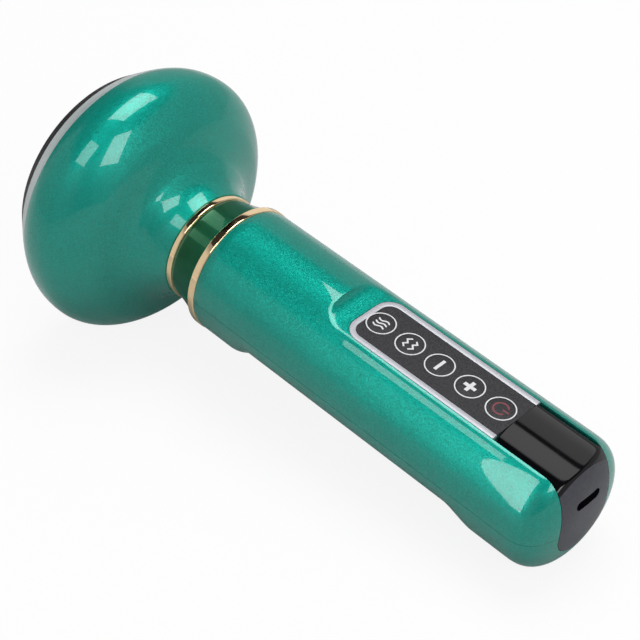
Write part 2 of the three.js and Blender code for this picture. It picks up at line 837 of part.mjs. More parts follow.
function key(z) {
  const cap = pinY(0, z, keyRadius, flatY, pocketY - keyGap / 2);
  return cap.add(pinY(0, z, keyStemRadius, flatY + keyGap, stemEndY, tinySides));
}

// End insert: a skin that follows the handle's front, end and back
function endInsert() {
  const skin = outerBody.subtract(cavity).intersect(insertColumn(0));
  const slot = plateZ(slotShape(socketWidth, socketHeight), capBase, handleTop + overrun);
  return skin.subtract(slot.translate([0, usbY, 0]));
}

const usbMouth = handleTop - handleWall - usbSetback;
const usbBase = usbMouth - usbShellLength;

function usbSection(inset) {
  return slotShape(usbShellWidth - inset * 2, usbShellHeight - inset * 2);
}

function usbShell() {
  const outer = plateZ(usbSection(0), usbBase, usbMouth);
  const inner = plateZ(usbSection(usbShellWall), usbBase + usbShellWall, usbMouth + overrun);
  return outer.subtract(inner).translate([0, usbY, 0]);
}

function usbTongue() {
  const x = usbTongueWidth / 2;
  const y = usbTongueThickness / 2;
  const root = usbMouth - usbTongueLength - overrun;
  const backing = plateZ(usbSection(usbShellWall + fit), usbBase + usbShellWall, root);
  const blade = block(-x, x, -y, y, root - lap, usbMouth - overrun);
  return backing.add(blade).translate([0, usbY, 0]);
}

// Boards
function mainBoard() {
  let board = block(-boardHalfWidth, boardHalfWidth, boardFrontY, boardBackY, boardBase, boardTop);
  const half = switchSize / 2;
  for (const z of keyHeights) {
    board = board.add(block(-half, half, boardFrontY - switchHeight, boardFrontY + lap, z - half, z + half));
    board = board.add(pinY(0, z, buttonRadius, stemEndY + keyTravel, boardFrontY, tinySides));
  }
  const x = chipSize / 2;
  for (const z of [keyHeights[1], keyHeights[keyCount - 2]]) {
    board = board.add(block(-x, x, boardBackY - lap, boardBackY + chipHeight, z - x, z + x));
  }
  const front = boardFrontY - overrun;
  for (const [holeX, z] of boardScrewPlaces) {
    board = board.subtract(pinY(holeX, z, pilotRadius, front, boardBackY + overrun, tinySides));
  }
  return board;
}

function boardScrew([x, z]) {
  const tip = boardBackY - boardScrewLength;
  return pinY(x, z, screwShankRadius, tip, boardBackY + lap, tinySides)
    .add(pinY(x, z, screwHeadRadius, boardBackY, boardBackY + screwHeadHeight, tinySides));
}

function usbBoard() {
  return block(-usbBoardHalfWidth, usbBoardHalfWidth, boardBackY, usbBoardBackY,
    boardTop - usbBoardOverlap, usbMouth - overrun);
}

// Pump train
const thinTubeRadius = thinTubeBore + thinTubeWall;
const portX = cavityRadius - lipThickness - seatGap - thinTubeRadius - fit;
const portZ = pumpBase + pumpHeadHeight / 2;
const motorScrewX = pumpRadius * motorScrewShare;
const motorScrewPlaces = [[-motorScrewX, pumpY], [motorScrewX, pumpY]];

function pumpHead() {
  const barbLow = pumpBase - barbLength;
  const body = turned([
    [0, pumpBase + lap], [barbBore, pumpBase + lap], [barbBore, barbLow], [barbRadius, barbLow],
    [barbRadius, pumpBase], [pumpRadius, pumpBase], [pumpRadius, pumpFrameBase], [0, pumpFrameBase],
  ], neckSides);
  const bridge = block(pumpInnerRadius, portX, -portRadius, portRadius, pumpBase, portZ);
  const lug = rodAt(portX, 0, portRadius, pumpBase, portZ);
  const barb = rodAt(portX, 0, thinBarbRadius, pumpBase + lap, portZ + portReach, tinySides);
  return joined([body, bridge, lug, barb]).translate([0, pumpY, 0]);
}

function pumpDiaphragm() {
  const top = pumpFrameBase + diaphragmThickness;
  return rodAt(0, pumpY, pumpRadius * diaphragmShare, pumpFrameBase, top, neckSides);
}

function pumpFrame() {
  const plateLow = motorBase - pumpPlate;
  const bore = motorBossRadius + fit;
  let body = turned([
    [pumpInnerRadius, pumpFrameBase], [pumpRadius, pumpFrameBase], [pumpRadius, motorBase],
    [bore, motorBase], [bore, plateLow], [pumpInnerRadius, plateLow],
  ], neckSides).translate([0, pumpY, 0]);
  const half = pumpRadius * pumpWindowShare / 2;
  const low = pumpFrameBase + pumpWindowRise;
  const reach = pumpRadius + overrun;
  body = body.subtract(block(-half, half, pumpY - reach, pumpY, low, low + pumpWindowHeight));
  for (const [x, y] of motorScrewPlaces) {
    body = body.subtract(rodAt(x, y, pilotRadius, plateLow - overrun, motorBase + overrun, tinySides));
  }
  return body;
}

function pumpMotor() {
  const bore = shaftRadius + runningGap;
  const bossLow = motorBase - motorBoss;
  const boreTop = motorBase + shaftGrip;
  const top = motorBase + motorLength;
  let body = turned([
    [0, boreTop], [bore, boreTop], [bore, bossLow], [motorBossRadius, bossLow],
    [motorBossRadius, motorBase], [motorRadius, motorBase], [motorRadius, top], [0, top],
  ], neckSides).translate([0, pumpY, 0]);
  const tip = motorBase - pumpPlate + motorScrewLength + pilotGap;
  for (const [x, y] of motorScrewPlaces) {
    body = body.subtract(rodAt(x, y, pilotRadius, motorBase - overrun, tip, tinySides));
  }
  return body;
}

function pumpRotor() {
  const shaft = rod(shaftRadius, eccentricBase + lap, motorBase + shaftGrip - seatGap);
  const discRadius = pumpRadius * eccentricShare;
  const disc = rodAt(eccentricOffset, 0, discRadius, eccentricBase, eccentricBase + eccentricHeight);
  return shaft.add(disc).translate([0, pumpY, 0]);
}

function motorScrew([x, y]) {
  const seat = motorBase - pumpPlate;
  const low = seat - motorScrewHead;
  const headRadius = pumpRadius * motorScrewHeadShare;
  const tip = seat + motorScrewLength;
  return turned([
    [0, low], [headRadius, low], [headRadius, seat],
    [screwShankRadius, seat], [screwShankRadius, tip], [0, tip],
  ], tinySides).translate([x, y, 0]);
}

function batteryCell() {
  const tip = batteryTop + terminalHeight;
  const terminalRadius = batteryRadius * terminalShare;
  return turned([
    [0, batteryBase], [batteryRadius, batteryBase], [batteryRadius, batteryTop],
    [terminalRadius, batteryTop], [terminalRadius, tip], [0, tip],
  ], neckSides).translate([0, batteryY, 0]);
}

// Release valve with its plunger on the right, vibration motor with its weight on the left
const sideBase = batteryBase + sideStart;
const valveTop = sideBase + valveLength;
const buzzerTop = sideBase + buzzerLength;
const sideTurn = THREE.MathUtils.degToRad(sideAngle);
const valveReach = cavityRadius - seatGap - valveRadius;
const buzzerReach = cavityRadius - seatGap - buzzerRadius;
const valvePlace = [valveReach * Math.cos(sideTurn), -valveReach * Math.sin(sideTurn)];
const buzzerPlace = [-buzzerReach * Math.cos(sideTurn), -buzzerReach * Math.sin(sideTurn)];

function atPlace(body, [x, y]) {
  return body.translate([x, y, 0]);
}

function releaseValve() {
  const bore = plungerRadius + runningGap;
  const floor = valveTop - plungerLength - seatGap;
  const inlet = sideBase - portReach;
  return atPlace(turned([
    [0, inlet], [thinBarbRadius, inlet], [thinBarbRadius, sideBase], [valveRadius, sideBase],
    [valveRadius, valveTop], [bore, valveTop], [bore, floor], [0, floor],
  ], smallSides), valvePlace);
}

function valvePlunger() {
  const low = valveTop - plungerLength + valveTravel;
  return atPlace(rod(plungerRadius, low, valveTop + valveTravel + seatGap), valvePlace);
}

function vibrationMotor() {
  const bore = buzzerShaftRadius + runningGap;
  const floor = buzzerTop - weightHeight;
  return atPlace(turned([
    [0, sideBase], [buzzerRadius, sideBase], [buzzerRadius, buzzerTop],
    [bore, buzzerTop], [bore, floor], [0, floor],
  ], smallSides), buzzerPlace);
}

function vibrationWeight() {
  const low = buzzerTop + seatGap;
  const high = low + weightHeight;
  const reach = weightRadius + overrun;
  const cut = block(-reach, reach, buzzerShaftRadius / 2, reach, low - overrun, high + overrun);
  const shaft = rod(buzzerShaftRadius, buzzerTop - weightHeight + seatGap, high, tinySides);
  return atPlace(rod(weightRadius, low, high).subtract(cut).add(shaft), buzzerPlace);
}

// Air tubes: nozzle to pump, and pump to release valve
function suctionTube() {
  const low = barbBase + seatGap;
  const high = pumpBase - seatGap;
  return tube([
    [0, 0, low], [0, 0, low + barbLength], [0, 0, (low + high) / 2], [0, 0, high - barbLength * 2],
    [0, pumpY, high - barbLength], [0, pumpY, high],
  ], tubeBore + tubeWall, tubeBore);
}

function valveTube() {
  const [x, y] = valvePlace;
  const low = portZ + fit;
  const high = sideBase - fit;
  return tube([
    [portX, pumpY, low], [portX, pumpY, low + portReach], [portX, pumpY, low + portReach * 2],
    [(portX + x) / 2, (pumpY + y) / 2, (low + high) / 2],
    [x, y, high - portReach * 2], [x, y, high - portReach], [x, y, high],
  ], thinTubeRadius, thinTubeBore);
}

// The whole massager
const massager = new THREE.Group();

function place(name, body, finish) {
  const mesh = new THREE.Mesh(geometryOf(body), finishes[finish]);
  mesh.name = name;
  massager.add(mesh);
}

place('cup_rim', cupRim(), 'gloss');
place('trim_ring', trimRing(), 'silver');
place('head_shell', headShell(), 'paint');
place('neck_ring_lower', neckRing(headHeight, neckBase, lowerRingRadius), 'gold');
place('neck_band', neckBand(), 'olive');
place('neck_ring_upper', neckRing(neckTop, mouth, upperRingRadius), 'gold');
place('front_shell', frontShell(), 'paint');
place('back_shell', backShell(), 'paint');
place('panel_frame', panelFrame(), 'silver');
place('control_overlay', controlOverlay(), 'film');
const keyNames = ['key_wave', 'key_pulse', 'key_minus', 'key_plus', 'key_power'];
keyNames.forEach((name, i) => place(name, key(keyHeights[i]), 'film'));
place('end_insert', endInsert(), 'gloss');
place('usb_shell', usbShell(), 'steel');
place('usb_tongue', usbTongue(), 'plastic');

place('cup_floor', cupFloor(), 'plastic');
place('heating_plate', heatingPlate(), 'steel');
magnetPlaces.forEach((at, i) => place(`magnet_${i + 1}`, magnet(at), 'steel'));
place('light_ring', lightRing(), 'diffuser');
place('suction_nozzle', suctionNozzle(), 'plastic');
place('nozzle_grille', nozzleGrille(), 'steel');
place('nozzle_filter', nozzleFilter(), 'white');
place('cup_seal', cupSeal(), 'rubber');
place('light_board', lightBoard(), 'board');
place('head_chassis', headChassis(), 'plastic');
chassisScrewPlaces.forEach((at, i) => place(`chassis_screw_${i + 1}`, chassisScrew(at), 'steel'));

place('suction_tube', suctionTube(), 'rubber');
place('pump_head', pumpHead(), 'plastic');
place('pump_diaphragm', pumpDiaphragm(), 'rubber');
place('pump_frame', pumpFrame(), 'plastic');
place('pump_rotor', pumpRotor(), 'brass');
place('pump_motor', pumpMotor(), 'steel');
motorScrewPlaces.forEach((at, i) => place(`motor_screw_${i + 1}`, motorScrew(at), 'steel'));
place('valve_tube', valveTube(), 'rubber');
place('release_valve', releaseValve(), 'steel');
place('valve_plunger', valvePlunger(), 'brass');
place('vibration_motor', vibrationMotor(), 'steel');
place('vibration_weight', vibrationWeight(), 'brass');
place('battery_cell', batteryCell(), 'cell');
place('main_board', mainBoard(), 'board');
boardScrewPlaces.forEach((at, i) => place(`board_screw_${i + 1}`, boardScrew(at), 'steel'));
place('usb_board', usbBoard(), 'board');

export default massager;
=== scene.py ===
# Electric cupping massager: a wide suction cup head on a straight handle.
# Lengths in this script are millimetres in the frame of the model, and every
# mesh is scaled to metres when it is made.

import math
from types import SimpleNamespace

import bmesh
import bpy
from mathutils import Matrix, Vector

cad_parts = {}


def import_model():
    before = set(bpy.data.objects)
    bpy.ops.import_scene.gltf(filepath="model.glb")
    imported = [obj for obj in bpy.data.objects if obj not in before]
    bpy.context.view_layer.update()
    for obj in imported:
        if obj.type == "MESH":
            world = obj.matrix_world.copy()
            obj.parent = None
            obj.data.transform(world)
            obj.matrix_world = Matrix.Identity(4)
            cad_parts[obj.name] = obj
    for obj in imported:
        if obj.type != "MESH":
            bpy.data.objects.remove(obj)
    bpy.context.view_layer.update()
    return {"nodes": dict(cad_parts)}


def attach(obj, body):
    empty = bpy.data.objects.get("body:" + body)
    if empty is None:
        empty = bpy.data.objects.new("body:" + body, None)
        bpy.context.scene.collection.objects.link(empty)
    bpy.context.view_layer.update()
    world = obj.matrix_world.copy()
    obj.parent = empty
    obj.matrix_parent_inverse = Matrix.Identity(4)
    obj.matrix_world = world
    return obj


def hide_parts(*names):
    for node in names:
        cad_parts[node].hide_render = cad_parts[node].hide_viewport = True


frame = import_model()

MM = 0.001
scene = bpy.context.scene
scene.view_settings.view_transform = "Standard"

# Camera: the viewing place of the photograph, solved from its outlines
CAMERA_AT = Vector((276.317, -347.839, 331.556))
CAMERA_FORWARD = Vector((-0.549466, 0.686666, -0.476002))
CAMERA_UP = Vector((-0.456569, -0.723891, -0.517229))
CAMERA_LENS = 99.374
CAMERA_SENSOR = 36.0
CAMERA_CLIP = 0.02, 20.0

# Head: its outline is four Bezier arcs, rim, bulge, shoulder and cove
BULGE_R, BULGE_Z = 42.85, 18.0
HEAD_TOP = 46.0
HEAD_ARCS = (
    ((33.8, 0), (40.55, 9), (BULGE_R, 11.5), (BULGE_R, BULGE_Z)),
    ((BULGE_R, BULGE_Z), (BULGE_R, 22.5), (39.9, 26.4), (34.5, 30.4)),
    ((34.5, 30.4), (31.69, 32.48), (25.58, 34.3), (22.97, 37.06)),
    ((22.97, 37.06), (21.8, 38.3), (18.36, 40.57), (17.6, HEAD_TOP)))
ARC_STEPS = 120
HEAD_WALL = 2.4
COLLAR_HEIGHT = 3.5
COLLAR_REACH = 1.2
WALL_CLEAR = 0.5
RIM_TOP = 4.4
TRIM_TOP = 9.7
TRIM_LEDGE = 6.8
SLEEVE_R = 31.4
SLEEVE_TOP = 16.0
CUP_WALL_R = 28.4
MOUTH_R = 30.2
FACE_INNER_R = 30.7
FACE_OUTER_R = 33.3
RIM_ROLL = 0.16
SHELL_ROLL = 0.2

# Sides of turned pieces, and the angle from which an edge stays sharp
FINE_SIDES = 224
MID_SIDES = 128
KEY_SIDES = 96
SHARP_ANGLE = math.radians(32.0)
MERGE_DISTANCE = 1e-8

# Inside the cup: floor, warm plate, light ring, magnets, nozzle and grille
FLOOR_Z = 11.0
FLOOR_TOP = 14.0
THROAT_R = 4.95
PLATE_Z = 10.2
PLATE_IN, PLATE_OUT = 7.2, 20.0
LIGHT_TOP = 11.8
LIGHT_IN, LIGHT_OUT = 21.5, 25.5
MAGNET_COUNT = 6
MAGNET_R, MAGNET_CIRCLE, MAGNET_LOW = 2.5, 13.6, 9.7
MAGNET_SIDES = 56
NOZZLE_Z = 9.6
NOZZLE_MOUTH_R, NOZZLE_FLANGE_R, NOZZLE_WALL_R = 4.25, 6.2, 4.8
NOZZLE_STEM_R, NOZZLE_BORE_R, NOZZLE_STEM_TOP = 1.9, 1.1, 21.2
GRILLE_R, GRILLE_LOW, GRILLE_HIGH = 4.1, 9.6, 10.6
GRILLE_HOLE_R, GRILLE_CIRCLE, GRILLE_HOLES, GRILLE_SIDES = 0.55, 2.38, 6, 32

# Neck
NECK_BORE = 14.15
RING_LOW_R = 17.35
RING_LOW_TOP = 48.0
NECK_WAIST_R = 16.9
NECK_FLARE = 2.7
NECK_TOP = 58.3
FLARE_POWER = 1.5
FLARE_STEPS = 32
RING_TOP_R = 20.2
RING_EDGE = 0.42
MOUTH_Z = 60.8

# Handle
HANDLE_R = 20.0
HANDLE_WALL = 2.3
HANDLE_FLOOR = 63.2
HANDLE_TOP = 189.1
CAP_Z = 177.9
CAP_POWER = 2.6
CAP_STEPS = 44
MOUTH_EDGE = 0.3
MOUTH_EDGE_MID = 0.09
GRIP_DEPTH = 14.6
GRIP_LOW, GRIP_LOW_END = 72.8, 81.8
GRIP_HIGH_START, GRIP_HIGH = 155.9, 165.9
SPLIT_HALF_GAP = 0.06
LIP_REACH = 1.4
LIP_THICKNESS = 0.8
LIP_GAP = 0.05
LIP_LOW = 65.5

# Flat front with its ramp, the panel and the end insert
FLAT_Y = -17.07
RAMP_DEPTH = 2.93
RAMP_LENGTH = 7.0
PANEL_LOW = 108.48
RAMP_LOW = PANEL_LOW - RAMP_LENGTH
RAMP_STEPS = 30
DROP_SLOPE = 3.0
POCKET_Y = -16.17
CAVITY_Y = -14.2
CAVITY_FRONT_LOW = RAMP_LOW - 2.87
PANEL_HALF = 9.76
PANEL_GAP = 0.15
PANEL_CORNER = 5.4
FRAME_STROKE = 1.8
INSERT_Z = 162.9
INSERT_BACK = 0.6
INSERT_LIFT = 0.25
END_FACE_TILT = 0.8
INSERT_CREST = -2.9
INSERT_CURVE_R = 40.0
INSERT_EDGE_FROM, INSERT_EDGE_DROP, INSERT_EDGE_MOST = 7.4, 0.4, 1.2
INSERT_STEPS = 72
FIT = 0.15
SOFT_EDGE = 0.4

# Cutting blocks reach past the handle: sideways, below its mouth and above its end
PAST = 25.0
BELOW, ABOVE = 55.0, 195.0

# Keys
KEY_Z = {"key_wave": 114.33, "key_pulse": 125.08, "key_minus": 135.83, "key_plus": 146.58,
         "key_power": 157.33}
KEY_R = 3.8
KEY_HOLE_R = 3.9
KEY_WELL_R = 4.1
KEY_WELL_Y = -15.62
STEM_R = 1.4
STEM_GAP = 0.3
STEM_END = -14.3
PRINT_LIFT = 0.03
PRINT_SINK = 0.05
RING_PRINT_IN, RING_PRINT_OUT = 0.03, 0.4
SIGN_SIZE = 0.87
MITRE_LEAST = 0.35

# Charging socket
SOCKET_Y = -7.77
SOCKET_W, SOCKET_H = 9.4, 2.9
USB_W, USB_H, USB_WALL = 8.94, 3.26, 0.3
USB_LOW, USB_TOP = 178.2, 185.5
TONGUE_W, TONGUE_H, TONGUE_TOP = 6.7, 0.7, 184.5
TONGUE_ROOT = USB_TOP - 5.5
TONGUE_EDGE = 0.12
BLADE_GAP = 0.3


# Mesh helpers
def link(obj):
    scene.collection.objects.link(obj)
    return obj


def smoothed(mesh):
    mesh.shade_smooth()
    mesh.set_sharp_from_angle(angle=SHARP_ANGLE)


def make(name, verts, faces):
    mesh = bpy.data.meshes.new(name)
    mesh.from_pydata([(x * MM, y * MM, z * MM) for x, y, z in verts], [], faces)
    bm = bmesh.new()
    bm.from_mesh(mesh)
    bmesh.ops.remove_doubles(bm, verts=bm.verts, dist=MERGE_DISTANCE)
    bmesh.ops.recalc_face_normals(bm, faces=bm.faces)
    bm.to_mesh(mesh)
    bm.free()
    smoothed(mesh)
    return link(bpy.data.objects.new(name, mesh))


def along_z(r, turn, h):
    return (r * math.cos(turn), r * math.sin(turn), h)


def along_y(r, turn, h):
    return (r * math.cos(turn), h, r * math.sin(turn))


def circle(radius, sides, centre=(0.0, 0.0)):
    """Points round a circle in the plane of an outline."""
    angles = [2 * math.pi * i / sides for i in range(sides)]
    return [(centre[0] + radius * math.cos(a), centre[1] + radius * math.sin(a)) for a in angles]


def turned(name, outline, sides=FINE_SIDES, place=along_z, at=(0.0, 0.0, 0.0)):
    """Turns a closed outline of (radius, height) round an axis; radius 0 makes a pole."""
    ends_on_axis = outline[0][0] == 0 and outline[-1][0] == 0
    verts, rows = [], []
    for r, h in outline:
        row = []
        count = 1 if r == 0 else sides
        for i in range(count):
            x, y, z = place(r, 2 * math.pi * i / sides, h)
            row.append(len(verts))
            verts.append((x + at[0], y + at[1], z + at[2]))
        rows.append(row)
    faces = []
    last = len(rows) - 1 if ends_on_axis else len(rows)
    for k in range(last):
        a, b = rows[k], rows[(k + 1) % len(rows)]
        for i in range(sides):
            j = (i + 1) % sides
            if len(a) == 1 and len(b) == 1:
                continue
            if len(a) == 1:
                faces.append((a[0], b[i], b[j]))
            elif len(b) == 1:
                faces.append((a[i], a[j], b[0]))
            else:
                faces.append((a[i], a[j], b[j], b[i]))
    return make(name, verts, faces)


def softened(points, radii, steps):
    """The closed outline with each corner of a given radius turned into an arc."""
    done = []
    count = len(points)
    for i, point in enumerate(points):
        radius = radii.get(i)
        if not radius:
            done.append(point)
            continue
        p = Vector(point)
        before = Vector(points[i - 1]) - p
        after = Vector(points[(i + 1) % count]) - p
        half = before.angle(after) / 2
        reach = min(radius / math.tan(half), 0.49 * before.length, 0.49 * after.length)
        start, end = p + before.normalized() * reach, p + after.normalized() * reach
        for k in range(steps + 1):
            t = k / steps
            q = start * (1 - t) ** 2 + p * 2 * t * (1 - t) + end * t * t
            done.append((q.x, q.y))
    return done


def prism_z(name, outline, low, high):
    """A closed outline of (x, y) raised from one height to another."""
    n = len(outline)
    verts = [(x, y, low) for x, y in outline] + [(x, y, high) for x, y in outline]
    faces = [tuple(range(n)), tuple(range(n, 2 * n))]
    faces += [(i, (i + 1) % n, n + (i + 1) % n, n + i) for i in range(n)]
    return make(name, verts, faces)


def prisms_y(name, outlines, front, back):
    """Closed outlines of (x, z), each one raised along Y."""
    verts, faces = [], []
    for outline in outlines:
        base, n = len(verts), len(outline)
        verts += [(x, front, z) for x, z in outline] + [(x, back, z) for x, z in outline]
        faces += [tuple(range(base, base + n)), tuple(range(base + n, base + 2 * n))]
        faces += [(base + i, base + (i + 1) % n, base + n + (i + 1) % n, base + n + i)
                  for i in range(n)]
    return make(name, verts, faces)


def box(name, low, high):
    (x0, y0, z0), (x1, y1, z1) = low, high
    return prism_z(name, [(x0, y0), (x1, y0), (x1, y1), (x0, y1)], z0, z1)


def shaped(obj, tools, operation="DIFFERENCE"):
    """Cuts, joins or intersects with the tools, which are then removed."""
    for tool in tools:
        step = obj.modifiers.new("shape", "BOOLEAN")
        step.operation, step.object, step.solver = operation, tool, "MANIFOLD"
    bpy.context.view_layer.update()
    graph = bpy.context.evaluated_depsgraph_get()
    mesh = bpy.data.meshes.new_from_object(obj.evaluated_get(graph))
    obj.modifiers.clear()
    old = obj.data
    obj.data = mesh
    bpy.data.meshes.remove(old)
    smoothed(mesh)
    for tool in tools:
        bpy.data.objects.remove(tool)
    return obj


def copy_of(obj):
    twin = obj.copy()
    twin.data = obj.data.copy()
    return link(twin)


def coated(obj, mat):
    obj.data.materials.clear()
    obj.data.materials.append(mat)


def joined(name, parts):
    """Several objects become one mesh, with a material slot for each finish."""
    bm = bmesh.new()
    finishes = []
    for part in parts:
        start = len(bm.faces)
        bm.from_mesh(part.data)
        bm.faces.ensure_lookup_table()
        mat = part.data.materials[0]
        if mat not in finishes:
            finishes.append(mat)
        for face in bm.faces[start:]:
            face.material_index = finishes.index(mat)
        bpy.data.objects.remove(part)
    mesh = bpy.data.meshes.new(name)
    bm.to_mesh(mesh)
    bm.free()
    for mat in finishes:
        mesh.materials.append(mat)
    smoothed(mesh)
    return link(bpy.data.objects.new(name, mesh))


# Materials: scales are per metre, reliefs are metres
FLAKE_SCALE = 5200.0
FLAKE_TILT = 0.2
FLAKE_TONES = [(0.0, (0.004, 0.27, 0.208)), (0.55, (0.006, 0.335, 0.262)), (1.0, (0.012, 0.42, 0.336))]
DRIFT_SCALE = 90.0
DRIFT_TONES = [(0.3, (0.95, 0.95, 0.95)), (0.7, (1.0, 1.0, 1.0))]
PAINT_ROUGH = (0.36, 0.42)
FILM_SCALE = 2100.0
FILM_TONES = [(0.3, (0.003, 0.003, 0.004)), (0.7, (0.046, 0.046, 0.052))]
FILM_ROUGH = (0.42, 0.62)
FILM_RELIEF, FILM_BUMP = 0.00005, 0.8
WEAR_SHARE = 0.31


def new_material(name):
    mat = bpy.data.materials.new(name)
    mat.use_nodes = True
    nodes = mat.node_tree.nodes
    nodes.clear()
    out = nodes.new("ShaderNodeOutputMaterial")
    shader = nodes.new("ShaderNodeBsdfPrincipled")
    mat.node_tree.links.new(shader.outputs["BSDF"], out.inputs["Surface"])
    return mat, nodes, mat.node_tree.links, shader


def set_inputs(shader, **values):
    names = {"metallic": "Metallic", "specular": "Specular IOR Level", "coat": "Coat Weight",
             "coat_roughness": "Coat Roughness", "coat_ior": "Coat IOR", "subsurface": "Subsurface Weight"}
    for key, value in values.items():
        shader.inputs[names[key]].default_value = value


def texture_place(nodes, links, stretch=(1.0, 1.0, 1.0)):
    coords = nodes.new("ShaderNodeTexCoord")
    mapping = nodes.new("ShaderNodeMapping")
    mapping.inputs["Scale"].default_value = stretch
    links.new(coords.outputs["Object"], mapping.inputs["Vector"])
    return mapping.outputs["Vector"]


def noise(nodes, links, place, scale, detail=3.0, rough=0.55):
    tex = nodes.new("ShaderNodeTexNoise")
    tex.inputs["Scale"].default_value = scale
    tex.inputs["Detail"].default_value = detail
    tex.inputs["Roughness"].default_value = rough
    links.new(place, tex.inputs["Vector"])
    return tex.outputs["Fac"]


def ramp(nodes, links, fac, stops):
    node = nodes.new("ShaderNodeValToRGB")
    elements = node.color_ramp.elements
    while len(elements) < len(stops):
        elements.new(0.5)
    for element, (at, color) in zip(elements, stops):
        element.position, element.color = at, (*color, 1.0)
    links.new(fac, node.inputs["Fac"])
    return node.outputs["Color"]


def spread(nodes, links, fac, low, high):
    node = nodes.new("ShaderNodeMapRange")
    node.inputs["To Min"].default_value, node.inputs["To Max"].default_value = low, high
    links.new(fac, node.inputs["Value"])
    return node.outputs["Result"]


def bump(nodes, links, height, distance, strength=1.0):
    node = nodes.new("ShaderNodeBump")
    node.inputs["Distance"].default_value = distance
    node.inputs["Strength"].default_value = strength
    links.new(height, node.inputs["Height"])
    return node.outputs["Normal"]


def surface(name, low, high, scale, rough, relief=0.0, stretch=(1.0, 1.0, 1.0), **values):
    """A general finish: two tones, uneven gloss and a fine relief, all from noise."""
    mat, nodes, links, shader = new_material(name)
    set_inputs(shader, **values)
    place = texture_place(nodes, links, stretch)
    fac = noise(nodes, links, place, scale)
    links.new(ramp(nodes, links, fac, [(0.3, low), (0.7, high)]), shader.inputs["Base Color"])
    wear = noise(nodes, links, place, scale * WEAR_SHARE)
    links.new(spread(nodes, links, wear, *rough), shader.inputs["Roughness"])
    if relief:
        links.new(bump(nodes, links, fac, relief), shader.inputs["Normal"])
    return mat


def paint_finish():
    """Clear coat over a green base with fine flakes, each tilted its own way."""
    mat, nodes, links, shader = new_material("green_metallic_paint")
    set_inputs(shader, metallic=0.55, specular=0.0, coat=1.0, coat_roughness=0.02, coat_ior=1.5)
    place = texture_place(nodes, links)
    flakes = nodes.new("ShaderNodeTexVoronoi")
    flakes.inputs["Scale"].default_value = FLAKE_SCALE
    links.new(place, flakes.inputs["Vector"])
    centred = nodes.new("ShaderNodeVectorMath")
    centred.operation = "SUBTRACT"
    centred.inputs[1].default_value = (0.5, 0.5, 0.5)
    links.new(flakes.outputs["Color"], centred.inputs[0])
    tilt = nodes.new("ShaderNodeVectorMath")
    tilt.operation = "SCALE"
    tilt.inputs["Scale"].default_value = FLAKE_TILT
    links.new(centred.outputs["Vector"], tilt.inputs[0])
    facing = nodes.new("ShaderNodeNewGeometry")
    tilted = nodes.new("ShaderNodeVectorMath")
    tilted.operation = "ADD"
    links.new(facing.outputs["Normal"], tilted.inputs[0])
    links.new(tilt.outputs["Vector"], tilted.inputs[1])
    unit = nodes.new("ShaderNodeVectorMath")
    unit.operation = "NORMALIZE"
    links.new(tilted.outputs["Vector"], unit.inputs[0])
    links.new(unit.outputs["Vector"], shader.inputs["Normal"])
    # The flakes' tones, on a ground that drifts a little
    split = nodes.new("ShaderNodeSeparateColor")
    links.new(flakes.outputs["Color"], split.inputs["Color"])
    tone = ramp(nodes, links, split.outputs["Red"], FLAKE_TONES)
    drift = noise(nodes, links, place, DRIFT_SCALE, 2.0)
    shade = nodes.new("ShaderNodeMix")
    shade.data_type, shade.blend_type = "RGBA", "MULTIPLY"
    shade.inputs["Factor"].default_value = 1.0
    links.new(tone, shade.inputs["A"])
    links.new(ramp(nodes, links, drift, DRIFT_TONES), shade.inputs["B"])
    links.new(shade.outputs["Result"], shader.inputs["Base Color"])
    links.new(spread(nodes, links, drift, *PAINT_ROUGH), shader.inputs["Roughness"])
    return mat


def film_finish():
    """Dark printed film with a fine grain that breaks up the light."""
    mat, nodes, links, shader = new_material("textured_film")
    set_inputs(shader, metallic=0.0, specular=0.4)
    place = texture_place(nodes, links)
    grain = noise(nodes, links, place, FILM_SCALE, 2.0, 0.7)
    links.new(ramp(nodes, links, grain, FILM_TONES), shader.inputs["Base Color"])
    links.new(spread(nodes, links, grain, *FILM_ROUGH), shader.inputs["Roughness"])
    links.new(bump(nodes, links, grain, FILM_RELIEF, FILM_BUMP), shader.inputs["Normal"])
    return mat


